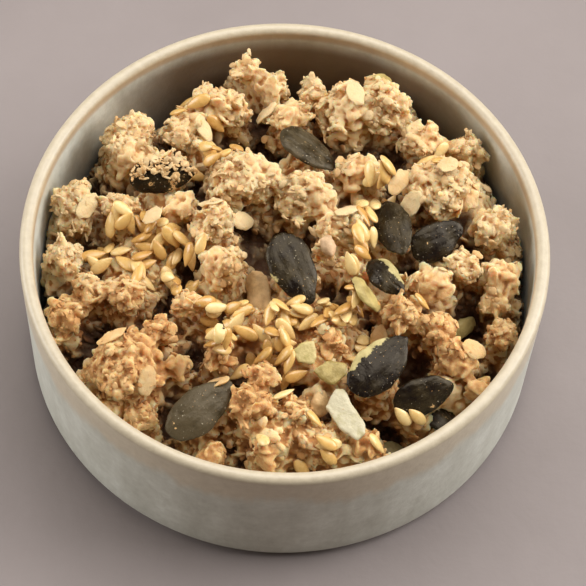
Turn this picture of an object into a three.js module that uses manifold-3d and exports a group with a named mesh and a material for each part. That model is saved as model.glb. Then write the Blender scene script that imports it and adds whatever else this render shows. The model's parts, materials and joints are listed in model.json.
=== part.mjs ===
// A small stoneware bowl of crunchy muesli.
//
// The bowl is a straight-sided dish with a rounded lip and a low foot ring. The muesli is one heap: a
// low uneven core with baked oat clusters, oat flakes and golden linseed fused to it. Hulled pumpkin
// seeds and pale kernel chips lie in sockets on the heap, each a solid of its own.
//
// Millimetres, +Z up. The origin is the middle of the foot, on the surface that the bowl stands on. The
// front of the bowl is -Y.
import * as THREE from "three";
import { mergeVertices } from "three/addons/utils/BufferGeometryUtils.js";
import Module from "manifold-3d";

const wasm = await Module();
wasm.setup();

// ---- Driving dimensions ----

const RIM_RADIUS = 50;
const BOWL_HEIGHT = 35.5;
const LIP_RADIUS = 1.35; // the lip is a half round this wide, on each side of its middle line
const WALL_DRAW = 0.6; // how much narrower the outside is at the foot than at the rim
const FLOOR_HEIGHT = 5; // inside floor above the table
const COVE_RADIUS = 6; // inside corner between wall and floor
const HEEL_RADIUS = 1.4; // outside corner at the bottom of the wall
const HEEL_HEIGHT = 2; // where the glazed wall ends, above the table
const FOOT_OUTER = 46;
const FOOT_INNER = 40;
const FOOT_RECESS = 1.2; // the underside inside the foot ring, above the table
const BOWL_SIDES = 48;

const CLEARANCE = 0.3; // gap between neighbouring solids

const CORE_MIDDLE = 28.5; // height of the bare core in the middle of the bowl
const CORE_EDGE = 17; // and where it meets the wall
const CORE_UNEVEN = 1;
const CRUMB_SPACING = 6.4; // of the nameless crumbs that fill the gaps between the clusters
const CRUMB_HALF = [2.6, 4.2];
const HEAP_MESH = 1.9; // side of the squares that the heap's top is divided into
const HEAP_JITTER = 0.4; // how far a corner of a square strays, so that no rows show

const LINSEED = { length: 5.2, width: 2.8, thick: 1.5 };
const OAT_FLAKE = { length: 6.4, width: 4.8, thick: 1.2 };

// ---- Helpers ----

// mulberry32: a short seeded generator of numbers from 0 to 1
function randomFrom(seed) {
  let state = seed >>> 0;
  return () => {
    state = (state + 0x6d2b79f5) >>> 0;
    let t = state;
    t = Math.imul(t ^ (t >>> 15), t | 1);
    t ^= t + Math.imul(t ^ (t >>> 7), t | 61);
    return ((t ^ (t >>> 14)) >>> 0) / 4294967296;
  };
}

function between(random, low, high) {
  return low + (high - low) * random();
}

function randomDirection(random) {
  const z = between(random, -1, 1);
  const turn = between(random, 0, 2 * Math.PI);
  const r = Math.sqrt(1 - z * z);
  return new THREE.Vector3(r * Math.cos(turn), r * Math.sin(turn), z);
}

// The geometry with only positions, where faces that meet share their corners.
function welded(geometry) {
  const bare = geometry.clone();
  bare.deleteAttribute("normal");
  bare.deleteAttribute("uv");
  return mergeVertices(bare, 1e-4);
}

// A closed three.js geometry as a solid that can be joined and cut.
function solidOf(geometry) {
  const merged = welded(geometry);
  return new wasm.Manifold(
    new wasm.Mesh({
      numProp: 3,
      vertProperties: new Float32Array(merged.attributes.position.array),
      triVerts: new Uint32Array(merged.index.array),
    }),
  );
}

function geometryOf(solid) {
  const mesh = solid.getMesh();
  const geometry = new THREE.BufferGeometry();
  geometry.setAttribute("position", new THREE.BufferAttribute(mesh.vertProperties, 3));
  geometry.setIndex(new THREE.BufferAttribute(mesh.triVerts, 1));
  geometry.computeVertexNormals();
  return geometry;
}

function joined(solids) {
  return solids.reduce((whole, solid) => whole.add(solid));
}

// The largest body of a solid: a hollow that joining sealed is filled, and a loose scrap is dropped.
function mainBody(solid) {
  const bodies = solid.decompose();
  return bodies.reduce((best, body) => (body.volume() > best.volume() ? body : best));
}

// Points of an arc in the profile plane, with angles in degrees.
function arc(r, z, radius, from, to, steps) {
  const points = [];
  for (let i = 0; i <= steps; i++) {
    const angle = THREE.MathUtils.degToRad(from + ((to - from) * i) / steps);
    points.push(new THREE.Vector2(r + radius * Math.cos(angle), z + radius * Math.sin(angle)));
  }
  return points;
}

// A lathe turns about Y: this stands it up along Z.
function turned(profile, sides) {
  return new THREE.LatheGeometry(profile, sides).rotateX(Math.PI / 2);
}

// ---- Bowl ----

const INNER_TOP = RIM_RADIUS - 2 * LIP_RADIUS; // inside radius just under the lip
const INNER_FOOT = INNER_TOP - WALL_DRAW; // and where the cove begins

function bowlGeometry() {
  const outerFoot = RIM_RADIUS - WALL_DRAW;
  const profile = [
    new THREE.Vector2(0, FOOT_RECESS),
    new THREE.Vector2(FOOT_INNER, FOOT_RECESS),
    new THREE.Vector2(FOOT_INNER + 0.6, 0),
    new THREE.Vector2(FOOT_OUTER, 0),
    new THREE.Vector2(FOOT_OUTER + 0.6, HEEL_HEIGHT - 0.2),
    ...arc(outerFoot - HEEL_RADIUS, HEEL_HEIGHT + HEEL_RADIUS, HEEL_RADIUS, -90, 0, 2),
    ...arc(RIM_RADIUS - LIP_RADIUS, BOWL_HEIGHT - LIP_RADIUS, LIP_RADIUS, 0, 180, 6),
    ...arc(INNER_FOOT - COVE_RADIUS, FLOOR_HEIGHT + COVE_RADIUS, COVE_RADIUS, 0, -90, 3),
    new THREE.Vector2(0, FLOOR_HEIGHT),
  ];
  return turned(profile, BOWL_SIDES);
}

// The room inside the bowl that the muesli may fill, open upwards.
function insideOfBowl() {
  const roof = BOWL_HEIGHT + 20;
  const profile = [
    new THREE.Vector2(0, FLOOR_HEIGHT + CLEARANCE),
    ...arc(
      INNER_FOOT - COVE_RADIUS,
      FLOOR_HEIGHT + COVE_RADIUS,
      COVE_RADIUS - CLEARANCE,
      -90,
      0,
      3,
    ),
    new THREE.Vector2(INNER_TOP - CLEARANCE, BOWL_HEIGHT - LIP_RADIUS),
    new THREE.Vector2(INNER_TOP - CLEARANCE, roof),
    new THREE.Vector2(0, roof),
  ];
  return solidOf(turned(profile, BOWL_SIDES / 2));
}

// ---- Core of the heap ----

// Where linseed lies in drifts, on a mound of loose oats: the middle, half width and half depth of each,
// how far it rises, and how many seeds show.
const LINSEED_DRIFTS = [
  { x: 2, y: -15.5, width: 15, depth: 5.5, rise: 4.6, count: 26, seed: 11 },
  { x: -28, y: 0, width: 8.5, depth: 10, rise: 4.2, count: 14, seed: 12 },
  { x: 15, y: 7, width: 5, depth: 9, rise: 4, count: 8, seed: 13 },
  { x: -15, y: 22, width: 5, depth: 4, rise: 2, count: 4, seed: 14 },
  { x: 6, y: -38, width: 12, depth: 5, rise: 3, count: 7, seed: 15 },
];

// Height of the core's top: a shallow dome with slow swells, and the mounds under the drifts.
function coreHeight(x, y) {
  const share = Math.min(1, Math.hypot(x, y) / INNER_TOP);
  const dome = CORE_EDGE + (CORE_MIDDLE - CORE_EDGE) * (1 - share * share);
  const swell = CORE_UNEVEN * Math.sin(0.31 * x + 1.1) * Math.cos(0.27 * y - 0.4);
  const mounds = LINSEED_DRIFTS.map((drift) => {
    const away = Math.hypot((x - drift.x) / drift.width, (y - drift.y) / drift.depth);
    return drift.rise * Math.exp(-away * away);
  });
  return dome + swell + mounds.reduce((sum, rise) => sum + rise);
}

// ---- Oat clusters ----

// The clusters that can be told apart, from the back of the bowl to the front: the middle of each (x, y,
// height) and its half width, half depth and half height.
const CLUSTERS = [
  // back wall
  { at: [-9.5, 39.5, 33], half: [3.6, 3.4, 4] },
  { at: [-3.8, 36.5, 31], half: [3.3, 3.6, 5] },
  { at: [4, 36, 30], half: [2.8, 3.6, 5.5] },
  { at: [-14, 32.5, 30.5], half: [7.4, 4.8, 5.6] },
  { at: [-0.5, 30, 31], half: [4.4, 4, 5] },
  { at: [10.5, 32.5, 31], half: [6.4, 6, 6.2] },
  { at: [18, 34, 31], half: [6.2, 6.8, 6.2] },
  { at: [26, 27.5, 29], half: [5.8, 3.8, 5] },
  { at: [34.5, 26.5, 28], half: [5.2, 4, 5] },
  // upper left
  { at: [-31, 23.5, 28.5], half: [5.4, 8.2, 6.6] },
  { at: [-20.5, 26.5, 29], half: [5.4, 5, 5.4] },
  { at: [-24, 17.5, 29.5], half: [6.4, 4.2, 5] },
  { at: [-32, 9.5, 29], half: [4.4, 3.8, 4.4] },
  { at: [-20, 9, 30.5], half: [3.4, 4.6, 5] },
  { at: [-41, 9.5, 27.5], half: [5.4, 6, 6] },
  // middle
  { at: [-8, 14, 33.5], half: [8.6, 6.6, 6.6] },
  { at: [3.5, 11.5, 33.5], half: [7, 5.6, 6] },
  { at: [13.5, 18, 32.5], half: [5.6, 4.2, 5.2] },
  { at: [30, 15.5, 31.5], half: [9, 8, 7] },
  { at: [40, 8.5, 29], half: [5.6, 5.2, 5.6] },
  { at: [9.5, 5, 32.5], half: [5, 4, 4.8] },
  { at: [8, -1, 33.5], half: [2.6, 2.6, 3.4] },
  { at: [12.8, -3, 32.5], half: [3.2, 2.8, 3.8] },
  { at: [-13.5, 4, 33.5], half: [5, 5, 5.6] },
  { at: [-11.5, -5, 33], half: [5, 4.8, 5.6] },
  { at: [28, -5, 31], half: [5.2, 4.6, 5.2] },
  { at: [33.8, -1, 30.5], half: [3.8, 3.8, 4.8] },
  { at: [41, -2.8, 28], half: [4.8, 5.6, 6.2] },
  // left
  { at: [-42, -1.2, 26], half: [4.8, 4.4, 5.2] },
  { at: [-36, -9, 28.5], half: [3.8, 3.8, 4.6] },
  { at: [-29, -10.5, 30], half: [4.4, 3.6, 4.4] },
  { at: [-40.5, -13.8, 26], half: [4.8, 4.8, 5.6] },
  { at: [-22.5, -18.5, 30.5], half: [3.8, 3.6, 4.6] },
  { at: [-18.5, -24.8, 29.5], half: [3.6, 3, 4.2] },
  { at: [-11.2, -22.5, 31], half: [3.2, 4.4, 5] },
  { at: [-17.5, -12, 30.5], half: [4, 3.4, 3.6] },
  // front
  { at: [-28.5, -26, 29.5], half: [8.4, 9, 8.6] },
  { at: [-25, -34, 26], half: [4.8, 4.2, 5] },
  { at: [-3, -27, 32], half: [3.6, 3, 4] },
  { at: [-4.5, -32.5, 30.5], half: [5.6, 4.8, 5.8] },
  { at: [3.4, -33, 29.5], half: [4.4, 4.2, 5.2] },
  { at: [-1, -40.2, 27], half: [4.2, 4.2, 6] },
  { at: [16.5, -38, 26.5], half: [6, 4.2, 5.4] },
  { at: [-11.2, -40.6, 25], half: [3.8, 3.2, 4.2] },
  { at: [8, -37, 27.5], half: [3.2, 3.2, 4.2] },
  // right
  { at: [9.2, -19.7, 32], half: [3.6, 4, 4] },
  { at: [23, -12.4, 32], half: [4.2, 4.4, 4.6] },
  { at: [29, -14.6, 30.5], half: [4.8, 3.6, 4.4] },
  { at: [33, -20.4, 29.5], half: [5, 5.4, 5.2] },
  { at: [38, -25, 27], half: [4.2, 3.4, 4] },
  { at: [42, -12.6, 26], half: [3.8, 3.6, 4.4] },
];

const CLUSTER_SWELL = 1.12; // the clusters touch, so each is a little wider than what shows of it
const KNOB_COUNT = 16;
const KNOB_HALF = [0.32, 0.48]; // half width of a knob, as a share of its cluster's
const HEART = 0.8; // and of the lump between the knobs
const LEAN = 2.8; // how steeply loose crumbs lean against a lump
const CUSHION = 2.8; // half width of the crumbs under a seed

// A baked lump as a list of round bodies: its heart, and the knobs of stuck-together oats on it.
function lump({ at, half }, seed) {
  const random = randomFrom(seed);
  const size = half.map((h) => h * CLUSTER_SWELL);
  const bodies = [{ at, half: size.map((h) => h * HEART) }];
  for (let k = 0; k < KNOB_COUNT; k++) {
    const share = between(random, ...KNOB_HALF);
    const out = randomDirection(random).multiplyScalar(1 - share);
    const place = [out.x, out.y, Math.abs(out.z)].map((o, i) => at[i] + o * size[i]);
    bodies.push({ at: place, half: size.map((h) => h * share) });
  }
  return bodies;
}

// Whether a place is inside the outline of a cluster or a drift, seen from above.
function covered(x, y) {
  const clusters = CLUSTERS.map(({ at, half }) => [at[0], at[1], half[0], half[1]]);
  const drifts = LINSEED_DRIFTS.map((drift) => [drift.x, drift.y, drift.width, drift.depth]);
  return [...clusters, ...drifts].some(([cx, cy, across, along]) => {
    return Math.hypot((x - cx) / across, (y - cy) / along) < 1;
  });
}

// Crumbs on a loose triangular grid, wherever no cluster stands and no linseed drifts.
function crumbs() {
  const random = randomFrom(7);
  const found = [];
  const rows = Math.ceil(INNER_TOP / (0.87 * CRUMB_SPACING));
  for (let row = -rows; row <= rows; row++) {
    for (let column = -rows; column <= rows; column++) {
      const x = (column + 0.5 * (row % 2)) * CRUMB_SPACING + between(random, -1.6, 1.6);
      const y = row * 0.87 * CRUMB_SPACING + between(random, -1.6, 1.6);
      const size = between(random, ...CRUMB_HALF);
      if (Math.hypot(x, y) > INNER_TOP - size || covered(x, y)) continue;
      const half = [size, size * between(random, 0.75, 1), size * between(random, 0.7, 1)];
      found.push({ at: [x, y, coreHeight(x, y) + 0.2 * size], half });
    }
  }
  return found;
}

// Height of a round body's top above a place. Beside the body it is that of the crumbs that lean on it.
function topOf({ at, half }, x, y) {
  const away = Math.hypot((x - at[0]) / half[0], (y - at[1]) / half[1]);
  if (away < 1) return at[2] + half[2] * Math.sqrt(1 - away * away);
  return at[2] - LEAN * (away - 1) * half[0];
}

// A small mound up to the middle of each seed and chip, which it rests on.
function cushions() {
  return [...Object.values(PUMPKIN_SEEDS), ...Object.values(KERNEL_CHIPS)].map(({ at: [x, y, z] }) => {
    return { at: [x, y, z - CUSHION], half: [CUSHION, CUSHION, CUSHION] };
  });
}

// The heap without its seeds: a block whose top follows the core and every lump, trimmed to the bowl.
function bedSolid() {
  const random = randomFrom(3);
  const stray = () => between(random, -HEAP_JITTER, HEAP_JITTER);
  const lumps = [...CLUSTERS, ...crumbs()].flatMap((piece, i) => lump(piece, 100 + i));
  const bodies = [...lumps, ...cushions()];
  const squares = Math.ceil((2 * INNER_TOP) / HEAP_MESH);
  const side = squares * HEAP_MESH;
  const block = welded(new THREE.BoxGeometry(side, side, 2, squares, squares, 1));
  const position = block.getAttribute("position");
  for (let i = 0; i < position.count; i++) {
    if (position.getZ(i) < 0) continue;
    const x = position.getX(i) + stray();
    const y = position.getY(i) + stray();
    const tops = bodies.map((body) => topOf(body, x, y));
    position.setXYZ(i, x, y, Math.max(coreHeight(x, y), ...tops));
  }
  return solidOf(block).intersect(insideOfBowl());
}

// ---- Pieces that lie on the heap ----

// A seed: a flattened drop, long in X and blunt at -X, with `sides` faces round it.
function seedGeometry({ length, width, thick }, point, sides, rings) {
  const geometry = new THREE.SphereGeometry(0.5, sides, rings).rotateZ(-Math.PI / 2);
  const position = geometry.getAttribute("position");
  for (let i = 0; i < position.count; i++) {
    const along = 2 * position.getX(i);
    const taper = 1 - point * along - 0.5 * point * along * along;
    position.setY(i, position.getY(i) * taper);
    position.setZ(i, position.getZ(i) * taper);
  }
  return geometry.scale(length, width, thick);
}

// Lays a geometry at a point: tipped up along its length and over on its side, then turned about Z.
function laid(geometry, at, { turn = 0, tip = 0, roll = 0 }) {
  const pose = new THREE.Euler(
    THREE.MathUtils.degToRad(roll),
    THREE.MathUtils.degToRad(-tip),
    THREE.MathUtils.degToRad(turn),
    "ZYX",
  );
  geometry.applyMatrix4(new THREE.Matrix4().makeRotationFromEuler(pose));
  return geometry.translate(...at);
}

// The hulled pumpkin seeds: length and width, the middle, and how each lies. `tip` lifts the pointed end
// and `roll` lifts the long edge on the left of the seed's way.
const PUMPKIN_SEEDS = {
  back_middle: { size: [13, 8], at: [3.4, 21.6, 33.6], turn: -32, tip: -12, roll: -18 },
  back_left_crusted: { size: [13, 7.6], at: [-24.2, 14.2, 33.4], turn: 12, tip: 2, roll: 48 },
  right_of_middle: { size: [13.4, 7.6], at: [20.4, 5.2, 33.6], turn: -70, tip: 8, roll: 24 },
  far_right: { size: [11.6, 7.8], at: [28.6, 3.2, 33.2], turn: 34, tip: 4, roll: 30 },
  split_right: { size: [10.6, 5.6], at: [19.2, -6, 34], turn: -50, tip: 8, roll: 20 },
  middle: { size: [15.2, 9], at: [1.8, -6.4, 36.2], turn: -64, tip: -16, roll: 4 },
  lower_left: { size: [15.4, 8.6], at: [-14, -33.6, 30.6], turn: 44, tip: 10, roll: 12 },
  black_front: { size: [15, 9], at: [18.4, -24.4, 34.2], turn: 50, tip: 8, roll: 14 },
  lower_right: { size: [12.4, 7.6], at: [27, -27.8, 29.4], turn: 24, tip: 4, roll: 40 },
  deep_right: { size: [12, 7.6], at: [29.6, -27.6, 22], turn: -40, tip: 0, roll: -16 },
};
const PUMPKIN_THICK = 2.6;

function pumpkinSeed({ size: [length, width], at, ...lie }, grow = 0) {
  const size = { length: length + grow, width: width + grow, thick: PUMPKIN_THICK + grow };
  return laid(seedGeometry(size, 0.2, 12, 5), at, lie);
}

// The pale chips of kernel: an outline in millimetres, extruded to a thin plate.
const CHIP_THICK = 1.6;
const KERNEL_CHIPS = {
  front_white: {
    outline: [[-5.4, 2.2], [-3.4, 3.6], [-0.6, 1.6], [4.4, -0.6], [5.2, -2.8], [1.6, -3.2], [-4.6, -1.6]],
    at: [12.8, -34, 31.6],
    turn: -40,
    tip: 0,
    roll: 12,
  },
  middle_green: {
    outline: [[-2.8, 1.2], [-0.4, 2.6], [2.6, 1.4], [2.4, -1.8], [-1.6, -2.2]],
    at: [4.4, -22.8, 35],
    turn: 10,
    tip: 6,
    roll: 20,
  },
  middle_olive: {
    outline: [[-3.4, 0.8], [-0.6, 2.4], [3, 1.8], [3.4, -0.8], [0.6, -2.4], [-2.2, -1.8]],
    at: [9, -26.2, 33.9],
    turn: -14,
    tip: 0,
    roll: 12,
  },
};

// An outline drawn again at a distance outside itself, by scaling it about its middle.
function grown(outline, grow) {
  const reach = Math.max(...outline.map(([x, y]) => Math.hypot(x, y)));
  return outline.map(([x, y]) => [x * (1 + grow / reach), y * (1 + grow / reach)]);
}

function kernelChip({ outline, at, ...lie }, grow = 0) {
  const shape = new THREE.Shape(grown(outline, 1.6 * grow).map(([x, y]) => new THREE.Vector2(x, y)));
  const depth = CHIP_THICK - 0.6 + grow;
  const bevel = { bevelThickness: 0.3, bevelSize: 0.3, bevelOffset: -0.3, bevelSegments: 1 };
  const geometry = new THREE.ExtrudeGeometry(shape, { depth, ...bevel });
  geometry.translate(0, 0, -depth / 2);
  return laid(geometry, at, lie);
}

// ---- Linseed and oat flakes on the clusters ----

// Where whole oat flakes lie, as the linseed drifts do.
const FLAKE_DRIFTS = [
  { x: 21, y: 13, width: 3, depth: 4, count: 2, seed: 21 },
  { x: 0, y: 0, width: 40, depth: 38, count: 10, seed: 22 },
];

const UP = new THREE.Vector3(0, 0, 1);
const DOWN = new THREE.Vector3(0, 0, -1);
const SKY = BOWL_HEIGHT + 30; // from here a plumb line is dropped on the heap

// The place and the face's direction straight below a point of the sky.
function landing(caster, mesh, x, y) {
  caster.set(new THREE.Vector3(x, y, SKY), DOWN);
  const [hit] = caster.intersectObject(mesh);
  return hit && { point: hit.point, normal: hit.face.normal };
}

// One small piece of a drift, lying on the surface and sunk a little into it, or nothing where it would
// cross a seed or chip.
function dropped(surface, drift, random, shape, sink, keepOut) {
  const reach = Math.sqrt(random());
  const round = between(random, 0, 2 * Math.PI);
  const x = drift.x + drift.width * reach * Math.cos(round);
  const y = drift.y + drift.depth * reach * Math.sin(round);
  const turn = between(random, 0, 2 * Math.PI);
  const place = landing(surface.caster, surface.mesh, x, y);
  if (!place || Math.hypot(x, y) > INNER_TOP - 3 || place.normal.z < 0.35) return null;
  const lean = new THREE.Quaternion().setFromUnitVectors(UP, place.normal);
  const geometry = shape(random).rotateZ(turn);
  geometry.applyQuaternion(lean);
  const seat = place.point.clone().addScaledVector(place.normal, sink);
  geometry.translate(seat.x, seat.y, seat.z);
  const solid = solidOf(geometry);
  return solid.intersect(keepOut).volume() > 0 ? null : solid;
}

function strewn(heap, drifts, shape, sink, keepOut) {
  const surface = { caster: new THREE.Raycaster(), mesh: new THREE.Mesh(geometryOf(heap)) };
  const pieces = [];
  for (const drift of drifts) {
    const random = randomFrom(drift.seed);
    for (let i = 0; i < drift.count; i++) {
      const piece = dropped(surface, drift, random, shape, sink, keepOut);
      if (piece) pieces.push(piece);
    }
  }
  return joined([heap, ...pieces]);
}

function linseedGeometry() {
  return seedGeometry(LINSEED, 0.22, 5, 3);
}

function flakeGeometry(random) {
  const across = between(random, 0.8, 1.15);
  const { length, width, thick } = OAT_FLAKE;
  return seedGeometry({ length: length * across, width: width * across, thick }, 0.05, 6, 3);
}

// ---- Assembly ----

// The heap: clusters joined to the core and trimmed to the bowl, with sockets for the seeds and chips,
// and the small pieces on top.
function heapSolid() {
  const sockets = joined([
    ...Object.values(PUMPKIN_SEEDS).map((seed) => solidOf(pumpkinSeed(seed, 2 * CLEARANCE))),
    ...Object.values(KERNEL_CHIPS).map((chip) => solidOf(kernelChip(chip, 2 * CLEARANCE))),
  ]);
  const bare = mainBody(bedSolid().subtract(sockets));
  const flaked = strewn(bare, FLAKE_DRIFTS, flakeGeometry, 0.2, sockets);
  const seeded = strewn(flaked, LINSEED_DRIFTS, linseedGeometry, 0.5, sockets);
  return mainBody(seeded.intersect(insideOfBowl()));
}

const stoneware = new THREE.MeshStandardMaterial({ color: 0xc9c5b4, roughness: 0.35 });
const bakedOats = new THREE.MeshStandardMaterial({ color: 0xc09158, roughness: 0.85 });
const seedSkin = new THREE.MeshStandardMaterial({ color: 0x34352a, roughness: 0.5 });
const paleKernel = new THREE.MeshStandardMaterial({ color: 0xcfd0ab, roughness: 0.7 });

const part = new THREE.Group();

function addPiece(name, geometry, material) {
  const mesh = new THREE.Mesh(geometry, material);
  mesh.name = name;
  part.add(mesh);
}

addPiece("bowl", bowlGeometry(), stoneware);
addPiece("muesli_heap", geometryOf(heapSolid()), bakedOats);
for (const [place, seed] of Object.entries(PUMPKIN_SEEDS)) {
  addPiece(`pumpkin_seed_${place}`, pumpkinSeed(seed), seedSkin);
}
for (const [place, chip] of Object.entries(KERNEL_CHIPS)) {
  addPiece(`kernel_chip_${place}`, kernelChip(chip), paleKernel);
}

export default part;
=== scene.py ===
# %% [markdown]
# # A bowl of crunchy muesli
# A small stoneware bowl holds a heap of baked oat clusters, with golden linseed strewn over it, dark
# hulled pumpkin seeds and a few pale chips of kernel. The solids of the part come in first, as a
# fixed frame. Every piece below is then modelled in its place on that frame, in metres, and stands
# for one of the solids.

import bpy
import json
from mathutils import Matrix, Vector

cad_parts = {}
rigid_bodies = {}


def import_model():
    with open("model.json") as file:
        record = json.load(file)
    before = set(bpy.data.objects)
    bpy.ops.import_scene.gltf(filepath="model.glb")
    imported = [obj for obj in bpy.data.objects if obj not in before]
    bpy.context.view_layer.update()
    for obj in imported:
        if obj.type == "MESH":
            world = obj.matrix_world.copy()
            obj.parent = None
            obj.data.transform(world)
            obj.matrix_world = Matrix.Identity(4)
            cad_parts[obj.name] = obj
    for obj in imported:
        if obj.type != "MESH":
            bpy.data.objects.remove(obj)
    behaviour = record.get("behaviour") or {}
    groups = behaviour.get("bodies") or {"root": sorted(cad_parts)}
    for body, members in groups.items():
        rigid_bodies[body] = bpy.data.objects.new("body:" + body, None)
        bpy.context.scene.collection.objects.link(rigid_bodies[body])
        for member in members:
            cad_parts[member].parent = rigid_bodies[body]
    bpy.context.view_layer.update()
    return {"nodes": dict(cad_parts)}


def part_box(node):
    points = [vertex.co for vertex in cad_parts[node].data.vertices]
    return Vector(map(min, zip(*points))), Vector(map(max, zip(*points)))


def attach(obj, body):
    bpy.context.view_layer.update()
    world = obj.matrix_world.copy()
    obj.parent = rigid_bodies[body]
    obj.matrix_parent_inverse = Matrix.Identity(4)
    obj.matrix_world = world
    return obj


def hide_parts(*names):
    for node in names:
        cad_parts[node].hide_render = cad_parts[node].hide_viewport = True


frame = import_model()
print("solids in the frame:", len(frame["nodes"]))

# %% Tools that every step uses
import json
import math
import random

import bpy
import numpy as np
from mathutils import Euler, Matrix, Vector
from mathutils.bvhtree import BVHTree

MM = 0.001
RIM_RADIUS = 50
BOWL_HEIGHT = 35.5
LIP_RADIUS = 1.35
WALL_DRAW = 0.6
FLOOR_HEIGHT = 5
COVE_RADIUS = 6
HEEL_RADIUS = 0.8
HEEL_HEIGHT = 1.9
INNER_TOP = RIM_RADIUS - 2 * LIP_RADIUS
HEAP_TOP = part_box("muesli_heap")[1].z / MM
print("heap reaches", round(HEAP_TOP, 1), "mm above the table")

# %% [markdown]
# ## Choosing and finishing a piece
# Blender's operators act on whatever is selected, and the frame is still selected after it loads. So
# each step first clears the selection and picks its own piece. A finished piece keeps its place in
# its mesh, with its object at the origin: that is what `settle` does.

# %% Choose, settle, copy, join, edit, apply
def choose(*chosen):
    bpy.ops.object.select_all(action="DESELECT")
    for piece in chosen:
        piece.select_set(True)
    bpy.context.view_layer.objects.active = chosen[0]


def settle(piece):
    choose(piece)
    bpy.ops.object.transform_apply(location=True, rotation=True, scale=True)
    return piece


def named(name):
    piece = bpy.context.active_object
    piece.name = name
    piece.data.name = name
    return piece


def copied(piece, name):
    made = bpy.data.objects.new(name, piece.data.copy())
    bpy.context.scene.collection.objects.link(made)
    return made


def joined(pieces, name):
    choose(*pieces)
    bpy.ops.object.join()
    return named(name)


def edit_all():
    bpy.ops.object.mode_set(mode="EDIT")
    bpy.ops.mesh.select_all(action="SELECT")


def leave_edit():
    bpy.ops.object.mode_set(mode="OBJECT")


def add_modifier(piece, kind, **values):
    modifier = piece.modifiers.new(kind.lower(), kind)
    for name, value in values.items():
        setattr(modifier, name, value)


def apply_modifiers(piece):
    choose(piece)
    for modifier in list(piece.modifiers):
        bpy.ops.object.modifier_apply(modifier=modifier.name)


def triangles(piece):
    piece.data.calc_loop_triangles()
    return len(piece.data.loop_triangles)

# %% Read and write the points of a mesh
def points_of(mesh):
    flat = np.empty(3 * len(mesh.vertices), np.float32)
    mesh.vertices.foreach_get("co", flat)
    return flat.reshape(-1, 3).astype(float)


def put_points(mesh, points):
    mesh.vertices.foreach_set("co", points.astype(np.float32).ravel())
    mesh.update()


def note(mesh, name, values):
    """Writes one number, or one vector, at each point of a mesh, for its material to read."""
    values = np.asarray(values, np.float32)
    kind = "FLOAT" if values.ndim == 1 else "FLOAT_VECTOR"
    attribute = mesh.attributes.new(name, kind, "POINT")
    attribute.data.foreach_set("value" if kind == "FLOAT" else "vector", values.ravel())


def note_all(piece, name, value):
    note(piece.data, name, np.full(len(piece.data.vertices), value))

# %% [markdown]
# ## Camera
# The camera looks down at about 60 degrees from in front of the bowl, from half a metre away, with a
# long lens. Three small turns then put the rim where it stands in the picture: a pan, a tilt and a
# roll.

# %% Place the camera
LOOK_DOWN = math.radians(60.14)
DISTANCE = 500
AIM_HEIGHT = BOWL_HEIGHT - 1.075
PAN = math.radians(-0.22)
TILT = math.radians(-1.056)
ROLL = math.radians(-3.0)
LENS = 163.3
SENSOR_WIDTH = 36


def camera_axes():
    back = Vector((0, -math.cos(LOOK_DOWN), math.sin(LOOK_DOWN)))
    right = Vector((1, 0, 0))
    up = back.cross(right)
    pan = Matrix.Rotation(PAN, 3, up)
    right, back = pan @ right, pan @ back
    tilt = Matrix.Rotation(TILT, 3, right)
    back, up = tilt @ back, tilt @ up
    roll = Matrix.Rotation(ROLL, 3, -back)
    return roll @ right, roll @ up, back


def place_camera():
    bpy.ops.object.camera_add()
    camera = named("camera")
    right, up, back = camera_axes()
    aim = Vector((0, 0, AIM_HEIGHT))
    start = aim + DISTANCE * Vector((0, -math.cos(LOOK_DOWN), math.sin(LOOK_DOWN)))
    turn = Matrix((right, up, back)).transposed().to_4x4()
    camera.matrix_world = Matrix.Translation(start * MM) @ turn
    camera.data.lens = LENS
    camera.data.sensor_width = SENSOR_WIDTH
    camera.data.clip_start = 10 * MM
    bpy.context.scene.camera = camera
    return camera


camera = place_camera()
print("camera at", [round(v / MM) for v in camera.location], "mm")

# %% [markdown]
# ## Small tools for materials
# A material is a tree of nodes. A few short helpers keep the trees readable: `put` adds a node and
# fills or links its inputs, `calc`, `times` and `total` do sums, `mix` blends two colours, `tinted`
# lays a colour over what is painted, `ramp` turns a number into a colour, and `rise_between` makes a
# mask that rises softly.

# %% Node helpers
def put(tree, kind, settings=None, **inputs):
    made = tree.nodes.new(kind)
    for name, value in (settings or {}).items():
        setattr(made, name, value)
    fill(tree, made, **inputs)
    return made


def fill(tree, node, **inputs):
    for name, value in inputs.items():
        feed(tree, node.inputs[name.replace("_", " ")], value)


def feed(tree, socket, value):
    if isinstance(value, bpy.types.NodeSocket):
        tree.links.new(value, socket)
    else:
        socket.default_value = value


def calc(tree, operation, *values):
    made = put(tree, "ShaderNodeMath", {"operation": operation})
    for socket, value in zip(made.inputs, values):
        feed(tree, socket, value)
    return made.outputs[0]


def times(tree, a, b):
    return calc(tree, "MULTIPLY", a, b)


def total(tree, first, *others):
    """Sum of a value and of further (value, share) pairs."""
    for value, share in others:
        first = calc(tree, "ADD", first, times(tree, value, share))
    return first


def mix(tree, share, a, b, blend="MIX"):
    made = put(tree, "ShaderNodeMix", {"data_type": "RGBA", "blend_type": blend})
    feed(tree, made.inputs[0], share)
    feed(tree, made.inputs[6], a)
    feed(tree, made.inputs[7], b)
    return made.outputs[2]


def colour(*rgb):
    return (*rgb, 1)


def tinted(tree, painted, mask, share, tint):
    return mix(tree, times(tree, mask, share), painted, colour(*tint))


def ramp(tree, value, stops):
    made = put(tree, "ShaderNodeValToRGB", Fac=value)
    elements = made.color_ramp.elements
    for i, (place, tint) in enumerate(stops):
        element = elements[i] if i < 2 else elements.new(place)
        element.position = place
        element.color = colour(*tint)
    return made.outputs["Color"]


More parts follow.
